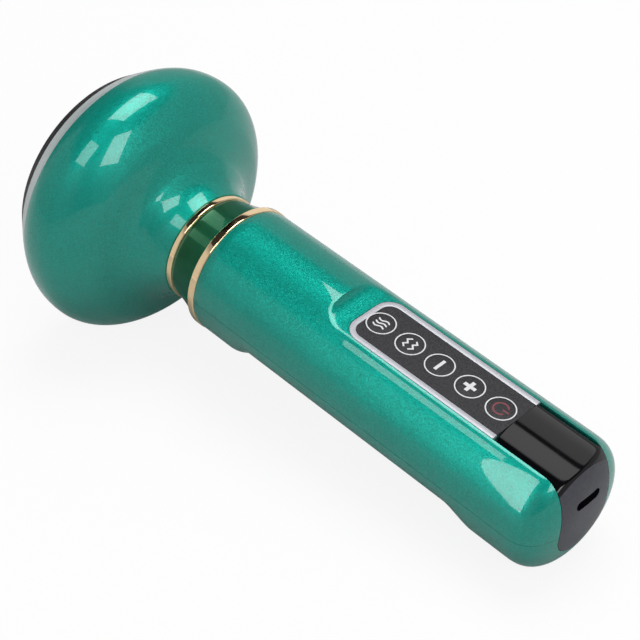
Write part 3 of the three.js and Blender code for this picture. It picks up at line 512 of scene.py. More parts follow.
finish = SimpleNamespace(
    paint=paint_finish(),
    film=film_finish(),
    olive=surface("deep_green_enamel", (0.042, 0.140, 0.057), (0.054, 0.170, 0.072), 320.0, (0.05, 0.08),
                  metallic=0.8, specular=0.0, coat=1.0, coat_roughness=0.01),
    gold=surface("polished_gold", (0.94, 0.70, 0.42), (0.98, 0.75, 0.46), 700.0, (0.05, 0.10), metallic=1.0),
    silver=surface("satin_silver", (0.46, 0.53, 0.53), (0.56, 0.63, 0.63), 1500.0, (0.30, 0.38),
                   relief=0.000004, metallic=0.35, coat=0.5, coat_roughness=0.08),
    frame_silver=surface("painted_silver", (0.48, 0.48, 0.52), (0.58, 0.58, 0.63), 2600.0, (0.36, 0.46),
                         relief=0.000006, metallic=0.35),
    gloss=surface("gloss_black", (0.003, 0.003, 0.004), (0.005, 0.005, 0.007), 260.0, (0.06, 0.10),
                  specular=0.5),
    rim=surface("rim_black", (0.005, 0.005, 0.007), (0.009, 0.009, 0.011), 900.0, (0.35, 0.45),
                specular=0.05),
    satin=surface("satin_charcoal", (0.072, 0.074, 0.088), (0.088, 0.090, 0.106), 900.0, (0.34, 0.42),
                  specular=0.3),
    print_white=surface("print_white", (0.66, 0.66, 0.68), (0.74, 0.74, 0.76), 2400.0, (0.45, 0.55)),
    print_red=surface("print_red", (0.17, 0.035, 0.042), (0.24, 0.055, 0.062), 2400.0, (0.45, 0.55)),
    plastic=surface("moulded_black", (0.018, 0.018, 0.020), (0.028, 0.028, 0.031), 1300.0, (0.42, 0.55),
                    relief=0.00001),
    white=surface("open_foam", (0.58, 0.58, 0.55), (0.72, 0.72, 0.69), 2200.0, (0.8, 0.9), relief=0.0001),
    steel=surface("brushed_steel", (0.50, 0.51, 0.52), (0.62, 0.63, 0.64), 420.0, (0.22, 0.34),
                  relief=0.000006, stretch=(1.0, 1.0, 9.0), metallic=1.0),
    plate=surface("anodised_plate", (0.42, 0.43, 0.44), (0.55, 0.56, 0.57), 900.0, (0.28, 0.38),
                  relief=0.000008, metallic=1.0),
    brass=surface("turned_brass", (0.54, 0.36, 0.12), (0.68, 0.47, 0.18), 600.0, (0.24, 0.34),
                  stretch=(1.0, 1.0, 8.0), metallic=1.0),
    rubber=surface("soft_rubber", (0.26, 0.28, 0.29), (0.34, 0.36, 0.37), 900.0, (0.6, 0.75), relief=0.00002),
    diffuser=surface("red_diffuser", (0.52, 0.20, 0.17), (0.66, 0.28, 0.24), 500.0, (0.28, 0.36),
                     subsurface=0.25),
    board=surface("board_mask", (0.010, 0.075, 0.034), (0.018, 0.11, 0.05), 800.0, (0.32, 0.46),
                  relief=0.00001),
    cell=surface("cell_sleeve", (0.035, 0.12, 0.36), (0.055, 0.17, 0.46), 300.0, (0.3, 0.4)),
)


def dressed(obj, mat, node, body="housing"):
    """Gives a piece its finish, unless it has one and its body; it stands for one node."""
    if mat:
        coated(obj, mat)
    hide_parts(node)
    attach(obj, body)


# Head: rim, silver band and the bulged shell
def arc_points():
    points = []
    for p0, p1, p2, p3 in HEAD_ARCS:
        for k in range(ARC_STEPS + 1):
            t = k / ARC_STEPS
            b = ((1 - t) ** 3, 3 * t * (1 - t) ** 2, 3 * t * t * (1 - t), t ** 3)
            points.append(tuple(sum(w * p[i] for w, p in zip(b, (p0, p1, p2, p3))) for i in (0, 1)))
    return points


HEAD_POINTS = arc_points()


def head_radius(z):
    for (r0, z0), (r1, z1) in zip(HEAD_POINTS, HEAD_POINTS[1:]):
        if z0 <= z <= z1 and z1 > z0:
            return r0 + (r1 - r0) * (z - z0) / (z1 - z0)
    return HEAD_POINTS[-1][0]


def head_run(low, high, steps):
    """The head's outline from one height to another, at an even pace along it."""
    inside = [p for p in HEAD_POINTS if low < p[1] < high]
    stride = max(1, len(inside) // steps)
    return [(head_radius(low), low)] + inside[stride // 2::stride] + [(head_radius(high), high)]


def ends_rolled(run, roll):
    """Both ends of an outer run turn inward by a small radius."""
    def end(r, z, up):
        """From the end's face to the run, in three points; up is 1 at the low end."""
        side = z + up * 0.4 * roll
        return [(r - roll, z), (r - 0.35 * roll, z + up * 0.12 * roll),
                (head_radius(side) - 0.1 * roll, side)]

    (r0, z0), (r1, z1) = run[0], run[-1]
    middle = [p for p in run if z0 + roll < p[1] < z1 - roll]
    return end(r0, z0, 1) + middle + end(r1, z1, -1)[::-1]


def cup_rim():
    outer = head_run(0.5, RIM_TOP, 14)
    r1, z1 = outer[-1]
    body = outer[:-1] + [(r1 - 0.1, z1 - 0.12), (r1 - 0.32, z1)]
    lead = [(FACE_OUTER_R - 0.35, 0.0), (FACE_OUTER_R, 0.03), (FACE_OUTER_R + 0.32, 0.16)]
    inner = [(SLEEVE_R, RIM_TOP), (SLEEVE_R, SLEEVE_TOP), (CUP_WALL_R, SLEEVE_TOP), (CUP_WALL_R, 3.4),
             (CUP_WALL_R + 0.08, 2.9), (CUP_WALL_R + 0.35, 2.35), (MOUTH_R - 0.3, 0.85), (MOUTH_R, 0.5),
             (MOUTH_R + 0.2, 0.2), (FACE_INNER_R, 0.03), (FACE_INNER_R + 0.3, 0.0)]
    dressed(turned("rim_black", lead + body + inner), finish.rim, "cup_rim")


def trim_ring():
    outer = ends_rolled(head_run(RIM_TOP, TRIM_TOP, 14), RIM_ROLL)
    top_inner = head_radius(TRIM_TOP) - HEAD_WALL
    inner = [(top_inner, TRIM_TOP), (top_inner, TRIM_LEDGE), (SLEEVE_R + FIT, TRIM_LEDGE),
             (SLEEVE_R + FIT, RIM_TOP)]
    dressed(turned("silver_band", outer + inner), finish.silver, "trim_ring")


def head_shell():
    outer = ends_rolled(head_run(TRIM_TOP, HEAD_TOP, 110), SHELL_ROLL)
    collar = HEAD_TOP - COLLAR_HEIGHT
    wall = []
    for (r0, z0), (r1, z1) in zip(outer[6::4], outer[10::4]):
        along = Vector((r1 - r0, z1 - z0)).normalized()
        wall.append((r0 - along.y * HEAD_WALL, z0 + along.x * HEAD_WALL))
    wall = [p for p in wall if TRIM_TOP + WALL_CLEAR < p[1] < collar - WALL_CLEAR and p[0] > NECK_BORE + 1]
    inner = [(NECK_BORE, HEAD_TOP), (NECK_BORE, collar), (wall[-1][0] - COLLAR_REACH, collar)]
    outline = outer + inner + wall[::-1] + [(head_radius(TRIM_TOP) - HEAD_WALL, TRIM_TOP)]
    dressed(turned("head_paint", outline), finish.paint, "head_shell")


# Neck: two gold rings and the flared green band
def neck_ring(name, node, low, high, radius):
    corners = [(NECK_BORE, low), (radius, low), (radius, high), (NECK_BORE, high)]
    outline = softened(corners, {1: RING_EDGE, 2: RING_EDGE}, 6)
    dressed(turned(name, outline), finish.gold, node)


def neck_band():
    flare = []
    for i in range(FLARE_STEPS + 1):
        t = i / FLARE_STEPS
        radius = NECK_WAIST_R + NECK_FLARE * t ** FLARE_POWER
        flare.append((radius, RING_LOW_TOP + (NECK_TOP - RING_LOW_TOP) * t))
    outline = [(NECK_BORE, RING_LOW_TOP)] + flare + [(NECK_BORE, NECK_TOP)]
    dressed(turned("neck_enamel", outline), finish.olive, "neck_band")


# Handle: a round tube drawn in at the back, closed by a full rounded end
def smooth_share(z, low, high):
    t = min(1.0, max(0.0, (z - low) / (high - low)))
    return t * t * (3 - 2 * t)


def back_depth(z):
    share = smooth_share(z, GRIP_LOW, GRIP_LOW_END) - smooth_share(z, GRIP_HIGH_START, GRIP_HIGH)
    return HANDLE_R - (HANDLE_R - GRIP_DEPTH) * share


def flat_depth(z):
    """Depth of the flat front; before the ramp it drops away outside the handle."""
    if z <= RAMP_LOW:
        return -HANDLE_R - DROP_SLOPE * (RAMP_LOW - z)
    if z >= PANEL_LOW:
        return FLAT_Y
    cosine = (PANEL_LOW - z) / RAMP_LENGTH
    return FLAT_Y - RAMP_DEPTH * (1 - math.sqrt(max(0.0, 1 - cosine * cosine)))


def spaced(low, high, count):
    return [low + (high - low) * i / count for i in range(count)]


def handle_heights():
    heights = spaced(MOUTH_Z + 0.3, GRIP_LOW, 4) + spaced(GRIP_LOW, GRIP_LOW_END, 14)
    heights += spaced(GRIP_LOW_END, RAMP_LOW - 1.0, 8)
    heights += [RAMP_LOW - drop for drop in (1.0, 0.6, 0.35, 0.18, 0.06)]
    heights += [PANEL_LOW - RAMP_LENGTH * math.cos(math.pi / 2 * i / RAMP_STEPS) for i in range(RAMP_STEPS)]
    heights += spaced(PANEL_LOW, GRIP_HIGH_START, 16) + spaced(GRIP_HIGH_START, GRIP_HIGH, 14)
    heights += spaced(GRIP_HIGH, CAP_Z, 6)
    return heights


def handle_turns():
    """Angles round the handle, closest where the flat front meets the round."""
    turns = spaced(0, 180, 84) + spaced(180, 234, 28) + spaced(234, 306, 96) + spaced(306, 360, 28)
    return [math.radians(a) for a in turns]


def insert_drop(x):
    """How far the insert's front falls back from the flat, across its width."""
    edge = max(0.0, abs(x) - INSERT_EDGE_FROM) / (PANEL_HALF - INSERT_EDGE_FROM)
    drop = (x - INSERT_CREST) ** 2 / (2 * INSERT_CURVE_R) - INSERT_LIFT
    return drop + INSERT_EDGE_DROP * min(edge, INSERT_EDGE_MOST) ** 2


def on_flat(y, limit):
    """The depth y kept behind the flat front, with a soft edge where the two meet."""
    kept = (y + limit + math.sqrt((y - limit) ** 2 + SOFT_EDGE ** 2)) / 2
    return kept - (SOFT_EDGE ** 2 / 12 if y > 0 else 0)


def handle_body(name, wall=0.0, crowned=False, floor=MOUTH_Z, plain=False):
    """Closed loft of the handle; plain is round with its wall moved in, crowned is for the insert."""
    radius = HANDLE_R - wall
    cap = HANDLE_TOP - CAP_Z - wall
    rings = []
    if plain:
        rings.append((floor, radius, back_depth(floor) - wall))
    else:
        for rise, inset in ((0.0, MOUTH_EDGE), (MOUTH_EDGE_MID, MOUTH_EDGE_MID)):
            rings.append((floor + rise, radius - inset, back_depth(floor) - inset))
    rings += [(z, radius, back_depth(z) - wall) for z in handle_heights() if z > floor + 0.2]
    for i in range(CAP_STEPS):
        a = math.pi / 2 * i / CAP_STEPS
        width = radius * math.cos(a) ** (2 / CAP_POWER)
        rings.append((CAP_Z + cap * math.sin(a) ** (2 / CAP_POWER), width, width))
    turns = handle_turns()
    n = len(turns)
    verts = []
    for z, width, back in rings:
        for turn in turns:
            x = width * math.cos(turn)
            y = (back if math.sin(turn) > 0 else width) * math.sin(turn)
            if not plain:
                y = on_flat(y, flat_depth(z) + (insert_drop(x) if crowned else 0.0))
            verts.append((x, y, z))
    faces = []
    for k in range(len(rings) - 1):
        for i in range(n):
            j = (i + 1) % n
            faces.append((k * n + i, k * n + j, (k + 1) * n + j, (k + 1) * n + i))
    verts += [(0, 0, rings[0][0]), (0, 0, CAP_Z + cap)]
    low, top = len(verts) - 2, len(verts) - 1
    last = (len(rings) - 1) * n
    for i in range(n):
        j = (i + 1) % n
        faces += [(low, j, i), (top, last + i, last + j)]
    return make(name, verts, faces)


def cavity_body():
    body = handle_body("cavity", wall=HANDLE_WALL, floor=HANDLE_FLOOR, plain=True)
    front = box("cavity_front", (-PAST, -PAST, CAVITY_FRONT_LOW), (PAST, CAVITY_Y, ABOVE))
    return shaped(body, [front])


def column(grow):
    """The end insert's room: straight in front, half round behind, larger all round by grow."""
    half = PANEL_HALF + grow
    outline = [(half, -PAST)]
    for i in range(INSERT_STEPS + 1):
        a = math.pi * i / INSERT_STEPS
        outline.append((half * math.cos(a), INSERT_BACK + half * math.sin(a)))
    outline.append((-half, -PAST))
    return prism_z("column", outline, INSERT_Z - grow, ABOVE)


def panel_path(inset, top, steps=14):
    """The panel's open outline, from one upper end round both corners to the other."""
    half, corner, low = PANEL_HALF - inset, PANEL_CORNER - inset, PANEL_LOW + inset
    path = [(half, top)]
    for i in range(steps + 1):
        a = -math.pi / 2 * i / steps
        path.append((half - corner + corner * math.cos(a), low + corner + corner * math.sin(a)))
    for i in range(steps + 1):
        a = -math.pi / 2 - math.pi / 2 * i / steps
        path.append((corner - half + corner * math.cos(a), low + corner + corner * math.sin(a)))
    path.append((-half, top))
    return path


def pins_y(name, radius, front, back, sides):
    """A round pin at each key's place."""
    return prisms_y(name, [circle(radius, sides, (0.0, z)) for z in KEY_Z.values()], front, back)


def seam_lip():
    """The back shell's lip, which closes the parting line from inside, round the cap too."""
    wall = HANDLE_WALL + LIP_GAP
    lip = handle_body("lip", wall=wall, floor=LIP_LOW, plain=True)
    band = box("lip_band", (-PAST, -LIP_REACH, BELOW), (PAST, LIP_REACH, ABOVE))
    lip = shaped(lip, [band], "INTERSECT")
    inner = handle_body("lip_inner", wall=wall + LIP_THICKNESS, floor=LIP_LOW - 1, plain=True)
    return shaped(lip, [inner, column(PANEL_GAP)])


def shells():
    skin = handle_body("skin")
    cavity = cavity_body()
    bore = turned("bore", [(0, MOUTH_Z - 1), (NECK_BORE, MOUTH_Z - 1), (NECK_BORE, HANDLE_FLOOR + 1),
                           (0, HANDLE_FLOOR + 1)], MID_SIDES)
    hollow = shaped(skin, [copy_of(cavity), bore])
    back = copy_of(hollow)
    front_block = box("front_block", (-PAST, -PAST, BELOW), (PAST, -SPLIT_HALF_GAP, ABOVE))
    back_block = box("back_block", (-PAST, SPLIT_HALF_GAP, BELOW), (PAST, PAST, ABOVE))
    pocket = prisms_y("pocket", [panel_path(-PANEL_GAP, INSERT_Z + 1)], -PAST, POCKET_Y)
    wells = pins_y("wells", KEY_WELL_R, -PAST, KEY_WELL_Y, 64)
    stems = pins_y("stems", STEM_R + STEM_GAP, -PAST, CAVITY_Y + 1, 32)
    front = shaped(hollow, [front_block], "INTERSECT")
    front = shaped(front, [pocket, column(PANEL_GAP)])
    front = shaped(front, [wells])
    front = shaped(front, [stems])
    front.name = "front_paint"
    dressed(front, finish.paint, "front_shell")
    back = shaped(back, [back_block], "INTERSECT")
    back = shaped(back, [column(PANEL_GAP)])
    back_parts = [back, seam_lip()]
    for part in back_parts:
        coated(part, finish.paint)
    dressed(joined("back_paint", back_parts), None, "back_shell")
    insert = handle_body("insert_gloss", crowned=True)
    insert = shaped(insert, [column(0.0)], "INTERSECT")
    slot = prism_z("slot", slot_outline(SOCKET_W, SOCKET_H), CAP_Z, ABOVE)
    insert = shaped(insert, [cavity, slot])
    dressed(insert, finish.gloss, "end_insert")
    insert.data.materials.append(finish.satin)
    for face in insert.data.polygons:
        face.material_index = int(face.normal.z > END_FACE_TILT)


def slot_outline(width, height, steps=20):
    radius, reach = height / 2, width / 2 - height / 2
    points = []
    for i in range(steps + 1):
        a = -math.pi / 2 + math.pi * i / steps
        points.append((reach + radius * math.cos(a), SOCKET_Y + radius * math.sin(a)))
    for i in range(steps + 1):
        a = math.pi / 2 + math.pi * i / steps
        points.append((-reach + radius * math.cos(a), SOCKET_Y + radius * math.sin(a)))
    return points


# Control panel
def panel_frame():
    """A strip along the panel's outline with rolled front edges."""
    top = INSERT_Z - FIT
    roll = 0.14
    section = [(0.0, POCKET_Y), (0.0, FLAT_Y + roll), (0.3 * roll, FLAT_Y + 0.3 * roll), (roll, FLAT_Y),
               (FRAME_STROKE - roll, FLAT_Y), (FRAME_STROKE - 0.3 * roll, FLAT_Y + 0.3 * roll),
               (FRAME_STROKE, FLAT_Y + roll), (FRAME_STROKE, POCKET_Y)]
    paths = [(panel_path(inset, top), y) for inset, y in section]
    count, size = len(paths[0][0]), len(section)
    verts = [(path[i][0], y, path[i][1]) for i in range(count) for path, y in paths]
    faces = []
    for i in range(count - 1):
        for k in range(size):
            m = (k + 1) % size
            faces.append((i * size + k, i * size + m, (i + 1) * size + m, (i + 1) * size + k))
    faces += [tuple(range(size)), tuple(range((count - 1) * size, count * size))]
    dressed(make("panel_silver", verts, faces), finish.frame_silver, "panel_frame")


def ring_print(z):
    front, back = FLAT_Y - PRINT_LIFT, FLAT_Y + PRINT_SINK
    inner, outer = KEY_HOLE_R + RING_PRINT_IN, KEY_HOLE_R + RING_PRINT_OUT
    outline = [(inner, back), (inner, front), (outer, front), (outer, back)]
    ring = turned("ring", outline, KEY_SIDES, along_y, (0.0, 0.0, z))
    ring.data.materials.append(finish.print_white)
    return ring


def control_overlay():
    sheet = prisms_y("sheet", [panel_path(FRAME_STROKE + 0.05, INSERT_Z - FIT)], FLAT_Y, POCKET_Y)
    sheet = shaped(sheet, [pins_y("holes", KEY_HOLE_R, -PAST, -10, KEY_SIDES)])
    coated(sheet, finish.film)
    rings = [ring_print(z) for z in KEY_Z.values()]
    dressed(joined("panel_film", [sheet] + rings), None, "control_overlay")


def stroke(points, width, round_ends=False):
    """The closed outline of a line of one width, mitred at its corners."""
    pts = [Vector(p) for p in points]
    left, right = [], []
    for i, p in enumerate(pts):
        before = (p - pts[i - 1]).normalized() if i else None
        after = (pts[i + 1] - p).normalized() if i < len(pts) - 1 else None
        along = (before + after).normalized() if before and after else (before or after)
        side = Vector((-along.y, along.x))
        half = width / 2
        if before and after:
            half /= max(MITRE_LEAST, side.dot(Vector((-before.y, before.x))))
        left.append(p + side * half)
        right.append(p - side * half)
    outline = left + right[::-1]
    if round_ends:
        def cap(centre, along):
            return [centre + (Matrix.Rotation(a, 2) @ along) * width / 2
                    for a in (math.radians(d) for d in (60, 30, 0, -30, -60))]
        start = (pts[0] - pts[1]).normalized()
        end = (pts[-1] - pts[-2]).normalized()
        outline = left + cap(pts[-1], end) + right[::-1] + cap(pts[0], start)
    return [(p.x, p.y) for p in outline]


def wave_sign():
    """Three waves that run along the handle, side by side."""
    reach, length, width, steps = 0.42, 4.1, 0.56, 24
    lines = []
    for side in (-1.5, 0.0, 1.5):
        wave = [(side + reach * math.sin(2 * math.pi * i / steps), length * i / steps - length / 2)
                for i in range(steps + 1)]
        lines.append(stroke(wave, width, True))
    return lines


def pulse_sign():
    """Two jagged lines, one the other turned half round."""
    width = 0.58
    corners = ((2.25, -0.72), (1.3, -1.85), (0.12, -0.9), (-1.02, -2.05), (-2.3, -0.85))
    return [stroke(corners, width), stroke([(-x, -z) for x, z in corners], width)]


def minus_sign():
    half_x, half_z = 2.5, 0.55
    return [[(-half_x, -half_z), (half_x, -half_z), (half_x, half_z), (-half_x, half_z)]]


def plus_sign():
    a, b = 2.25, 0.64
    return [[(-a, -b), (-b, -b), (-b, -a), (b, -a), (b, -b), (a, -b), (a, b), (b, b), (b, a), (-b, a),
             (-b, b), (-a, b)]]


def power_sign():
    """An open ring with a short bar in its gap, which faces the handle's end."""
    radius, gap, width, steps = 2.1, math.radians(40), 0.54, 40
    angles = [gap + (2 * math.pi - 2 * gap) * i / steps for i in range(steps + 1)]
    arc = [(radius * math.sin(a), radius * math.cos(a)) for a in angles]
    return [stroke(arc, width, True), stroke([(0.0, 0.9), (0.0, 2.5)], width, True)]


SIGNS = {"key_wave": wave_sign, "key_pulse": pulse_sign, "key_minus": minus_sign, "key_plus": plus_sign,
         "key_power": power_sign}


def keys():
    back = POCKET_Y - 0.05
    cap = softened([(0, FLAT_Y), (KEY_R, FLAT_Y), (KEY_R, back), (STEM_R, back), (STEM_R, STEM_END),
                    (0, STEM_END)], {1: 0.08}, 3)
    for name, z in KEY_Z.items():
        body = turned("cap", cap, KEY_SIDES, along_y, (0.0, 0.0, z))
        body.data.materials.append(finish.film)
        size = 1.0 if name == "key_power" else SIGN_SIZE
        outlines = [[(x * size, z + h * size) for x, h in outline] for outline in SIGNS[name]()]
        sign = prisms_y("sign", outlines, FLAT_Y - PRINT_LIFT, FLAT_Y + PRINT_SINK)
        sign.data.materials.append(finish.print_red if name == "key_power" else finish.print_white)
        dressed(joined(name + "_cap", [body, sign]), None, name, name)


# Charging socket
def socket():
    outer = prism_z("usb_steel", slot_outline(USB_W, USB_H), USB_LOW, USB_TOP)
    width, height = USB_W - 2 * USB_WALL, USB_H - 2 * USB_WALL
    inner = prism_z("usb_hollow", slot_outline(width, height), USB_LOW + USB_WALL, USB_TOP + 1)
    dressed(shaped(outer, [inner]), finish.steel, "usb_shell")
    backing = prism_z("usb_blade", slot_outline(width - BLADE_GAP, height - BLADE_GAP),
                      USB_LOW + USB_WALL, TONGUE_ROOT)
    x, y = TONGUE_W / 2, TONGUE_H / 2
    outline = softened([(-x, SOCKET_Y - y), (x, SOCKET_Y - y), (x, SOCKET_Y + y), (-x, SOCKET_Y + y)],
                       {corner: TONGUE_EDGE for corner in range(4)}, 4)
    blade = prism_z("blade", outline, TONGUE_ROOT - 0.5, TONGUE_TOP)
    dressed(shaped(backing, [blade], "UNION"), finish.plastic, "usb_tongue")


# Inside the cup
def cup_floor():
    edge = CUP_WALL_R - FIT
    outline = [(THROAT_R, FLOOR_Z), (LIGHT_IN - FIT, FLOOR_Z), (LIGHT_IN - FIT, LIGHT_TOP),
               (LIGHT_OUT + FIT, LIGHT_TOP), (LIGHT_OUT + FIT, FLOOR_Z), (edge, FLOOR_Z), (edge, FLOOR_TOP),
               (THROAT_R, FLOOR_TOP)]
    disc = turned("floor_disc", softened(outline, {1: 0.25, 4: 0.25, 5: 0.3}, 3), MID_SIDES)
    dressed(disc, finish.plastic, "cup_floor")


def light_ring():
    outline = [(LIGHT_IN, PLATE_Z), (LIGHT_OUT, PLATE_Z), (LIGHT_OUT, LIGHT_TOP), (LIGHT_IN, LIGHT_TOP)]
    ring = turned("light_diffuser", softened(outline, {0: 0.5, 1: 0.5}, 5), MID_SIDES)
    dressed(ring, finish.diffuser, "light_ring")


def plate_and_magnets():
    outline = [(PLATE_IN, PLATE_Z), (PLATE_OUT, PLATE_Z), (PLATE_OUT, FLOOR_Z), (PLATE_IN, FLOOR_Z)]
    plate = turned("warm_plate", softened(outline, {0: 0.2, 1: 0.2}, 4), MID_SIDES)
    spots = circle(MAGNET_CIRCLE, MAGNET_COUNT)
    cutters = [prism_z("hole", circle(MAGNET_R + FIT, MAGNET_SIDES, spot), PLATE_Z - 1, FLOOR_Z + 1)
               for spot in spots]
    dressed(shaped(plate, cutters), finish.plate, "heating_plate")
    outline = [(0, MAGNET_LOW), (MAGNET_R, MAGNET_LOW), (MAGNET_R, FLOOR_Z), (0, FLOOR_Z)]
    pill = softened(outline, {1: 0.45}, 6)
    for i, (x, y) in enumerate(spots):
        magnet = turned(f"magnet_{i + 1}_disc", pill, MAGNET_SIDES, along_z, (x, y, 0.0))
        dressed(magnet, finish.steel, f"magnet_{i + 1}")


def nozzle_and_grille():
    outline = [(NOZZLE_MOUTH_R, NOZZLE_Z), (NOZZLE_FLANGE_R, NOZZLE_Z), (NOZZLE_FLANGE_R, FLOOR_Z),
               (NOZZLE_WALL_R, FLOOR_Z), (NOZZLE_WALL_R, FLOOR_TOP), (NOZZLE_STEM_R, 15.2),
               (NOZZLE_STEM_R, NOZZLE_STEM_TOP), (NOZZLE_BORE_R, NOZZLE_STEM_TOP), (NOZZLE_BORE_R, 12.0),
               (NOZZLE_MOUTH_R, 12.0)]
    nozzle = turned("nozzle_body", softened(outline, {0: 0.3, 1: 0.5}, 5), MID_SIDES)
    dressed(nozzle, finish.plastic, "suction_nozzle")
    outline = [(0, GRILLE_LOW), (GRILLE_R, GRILLE_LOW), (GRILLE_R, GRILLE_HIGH), (0, GRILLE_HIGH)]
    grille = turned("grille_disc", softened(outline, {1: 0.15}, 3), KEY_SIDES)
    cutters = [prism_z("hole", circle(GRILLE_HOLE_R, GRILLE_SIDES, spot), GRILLE_LOW - 1, GRILLE_HIGH + 1)
               for spot in [(0.0, 0.0)] + circle(GRILLE_CIRCLE, GRILLE_HOLES)]
    dressed(shaped(grille, cutters), finish.steel, "nozzle_grille")


cup_rim()
trim_ring()
head_shell()
neck_ring("gold_ring_lower", "neck_ring_lower", HEAD_TOP, RING_LOW_TOP, RING_LOW_R)
neck_band()
neck_ring("gold_ring_upper", "neck_ring_upper", NECK_TOP, MOUTH_Z, RING_TOP_R)
shells()
panel_frame()
control_overlay()
keys()
socket()
cup_floor()
light_ring()
plate_and_magnets()
nozzle_and_grille()

# The nodes inside keep their solids and get a finish by their kind
INSIDE = {
    "white": ("nozzle_filter",),
    "rubber": ("cup_seal", "suction_tube", "pump_diaphragm", "valve_tube"),
    "board": ("light_board", "main_board", "usb_board"),
    "plastic": ("head_chassis", "pump_head", "pump_frame"),
    "steel": ("pump_motor", "motor_screw_1", "motor_screw_2", "release_valve", "vibration_motor",
              *(f"{part}_screw_{i}" for part in ("chassis", "board") for i in range(1, 5))),
    "brass": ("pump_rotor", "valve_plunger", "vibration_weight"),
    "cell": ("battery_cell",),
}
for kind, names in INSIDE.items():
    for name in names:
        coated(frame["nodes"][name], getattr(finish, kind))


# Floor: the massager lies on its head and the back of its handle, as in the photograph
REST_SPAN = 160.0
FLOOR_CLEARANCE = 0.35
LEAN = math.atan2(BULGE_R - HANDLE_R, REST_SPAN)
FLOOR_UP = Vector((0.0, -math.cos(LEAN), -math.sin(LEAN)))
FLOOR_AT = Vector((0.0, BULGE_R, BULGE_Z)) - FLOOR_UP * FLOOR_CLEARANCE
FLOOR_SIZE = 3000.0

# The floor's tone for diffuse rays, for mirror rays and for the camera, and how far it glows for the camera
FLOOR_DIFFUSE, FLOOR_MIRRORED, FLOOR_SEEN, FLOOR_GLOW = 0.28, 0.56, 0.86, 0.88
WORLD_DIFFUSE = 0.45


def grey(level):
    return (level, level, level)


def rise_at(degrees):
    return math.sin(math.radians(degrees)) / 2 + 0.5


# Tones of the studio that mirror rays see: by height over the floor, and round the object
# from behind the camera over its left, ahead and right
RISE_TONES = [(0.0, grey(0.36)), (rise_at(36), grey(0.36)), (rise_at(45), grey(0.03)), (1.0, grey(0.03))]
TURN_TONES = [(at / 360 + 0.5, grey(level)) for at, level in (
    (-180, 0.45), (-160, 1.0), (-58, 1.0), (-46, 0.12), (-20, 0.12), (-8, 1.0), (10, 1.0), (60, 1.0),
    (150, 1.0), (176, 0.45))]


def square(name, centre, up, size):
    side = Vector((0, 0, 1)).cross(up).normalized()
    ahead = up.cross(side).normalized()
    corners = [(-1, -1), (1, -1), (1, 1), (-1, 1)]
    verts = [centre + side * (a * size / 2) + ahead * (b * size / 2) for a, b in corners]
    mesh = bpy.data.meshes.new(name)
    mesh.from_pydata([tuple(v * MM) for v in verts], [], [(0, 1, 2, 3)])
    if mesh.polygons[0].normal.dot(up) < 0:
        mesh.flip_normals()
    return link(bpy.data.objects.new(name, mesh))


def floor():
    """Pale for the camera with the object's shadow on it, and greyer where it lights the object."""
    obj = square("floor", FLOOR_AT, FLOOR_UP, FLOOR_SIZE)
    mat = bpy.data.materials.new("pale_floor")
    mat.use_nodes = True
    nodes, links = mat.node_tree.nodes, mat.node_tree.links
    nodes.clear()
    out = nodes.new("ShaderNodeOutputMaterial")
    matt = nodes.new("ShaderNodeBsdfDiffuse")
    glow = nodes.new("ShaderNodeEmission")
    glow.inputs["Strength"].default_value = 1.0
    path = nodes.new("ShaderNodeLightPath")
    pale = nodes.new("ShaderNodeMix")
    pale.data_type = "RGBA"
    bounce = nodes.new("ShaderNodeMix")
    bounce.data_type = "RGBA"
    bounce.inputs["A"].default_value = (*grey(FLOOR_DIFFUSE), 1.0)
    bounce.inputs["B"].default_value = (*grey(FLOOR_MIRRORED), 1.0)
    links.new(path.outputs["Is Glossy Ray"], bounce.inputs["Factor"])
    links.new(bounce.outputs["Result"], pale.inputs["A"])
    pale.inputs["B"].default_value = (*grey(FLOOR_SEEN), 1.0)
    links.new(path.outputs["Is Camera Ray"], pale.inputs["Factor"])
    links.new(pale.outputs["Result"], matt.inputs["Color"])
    white = nodes.new("ShaderNodeMixShader")
    share = calc(nodes, links, "MULTIPLY", path.outputs["Is Camera Ray"], FLOOR_GLOW)
    links.new(share, white.inputs["Fac"])
    links.new(matt.outputs[0], white.inputs[1])
    links.new(glow.outputs[0], white.inputs[2])
    # Seen from underneath, the floor is clear
    clear = nodes.new("ShaderNodeBsdfTransparent")
    under = nodes.new("ShaderNodeNewGeometry")
    both = nodes.new("ShaderNodeMixShader")
    links.new(under.outputs["Backfacing"], both.inputs["Fac"])
    links.new(white.outputs[0], both.inputs[1])
    links.new(clear.outputs[0], both.inputs[2])
    links.new(both.outputs[0], out.inputs["Surface"])
    obj.data.materials.append(mat)
    obj.visible_shadow = False


def dot_with(nodes, links, vector, axis):
    node = nodes.new("ShaderNodeVectorMath")
    node.operation = "DOT_PRODUCT"
    node.inputs[1].default_value = axis
    links.new(vector, node.inputs[0])
    return node.outputs["Value"]


def calc(nodes, links, operation, *values):
    node = nodes.new("ShaderNodeMath")
    node.operation = operation
    for socket, value in zip(node.inputs, values):
        if isinstance(value, float):
            socket.default_value = value
        else:
            links.new(value, socket)
    return node.outputs[0]


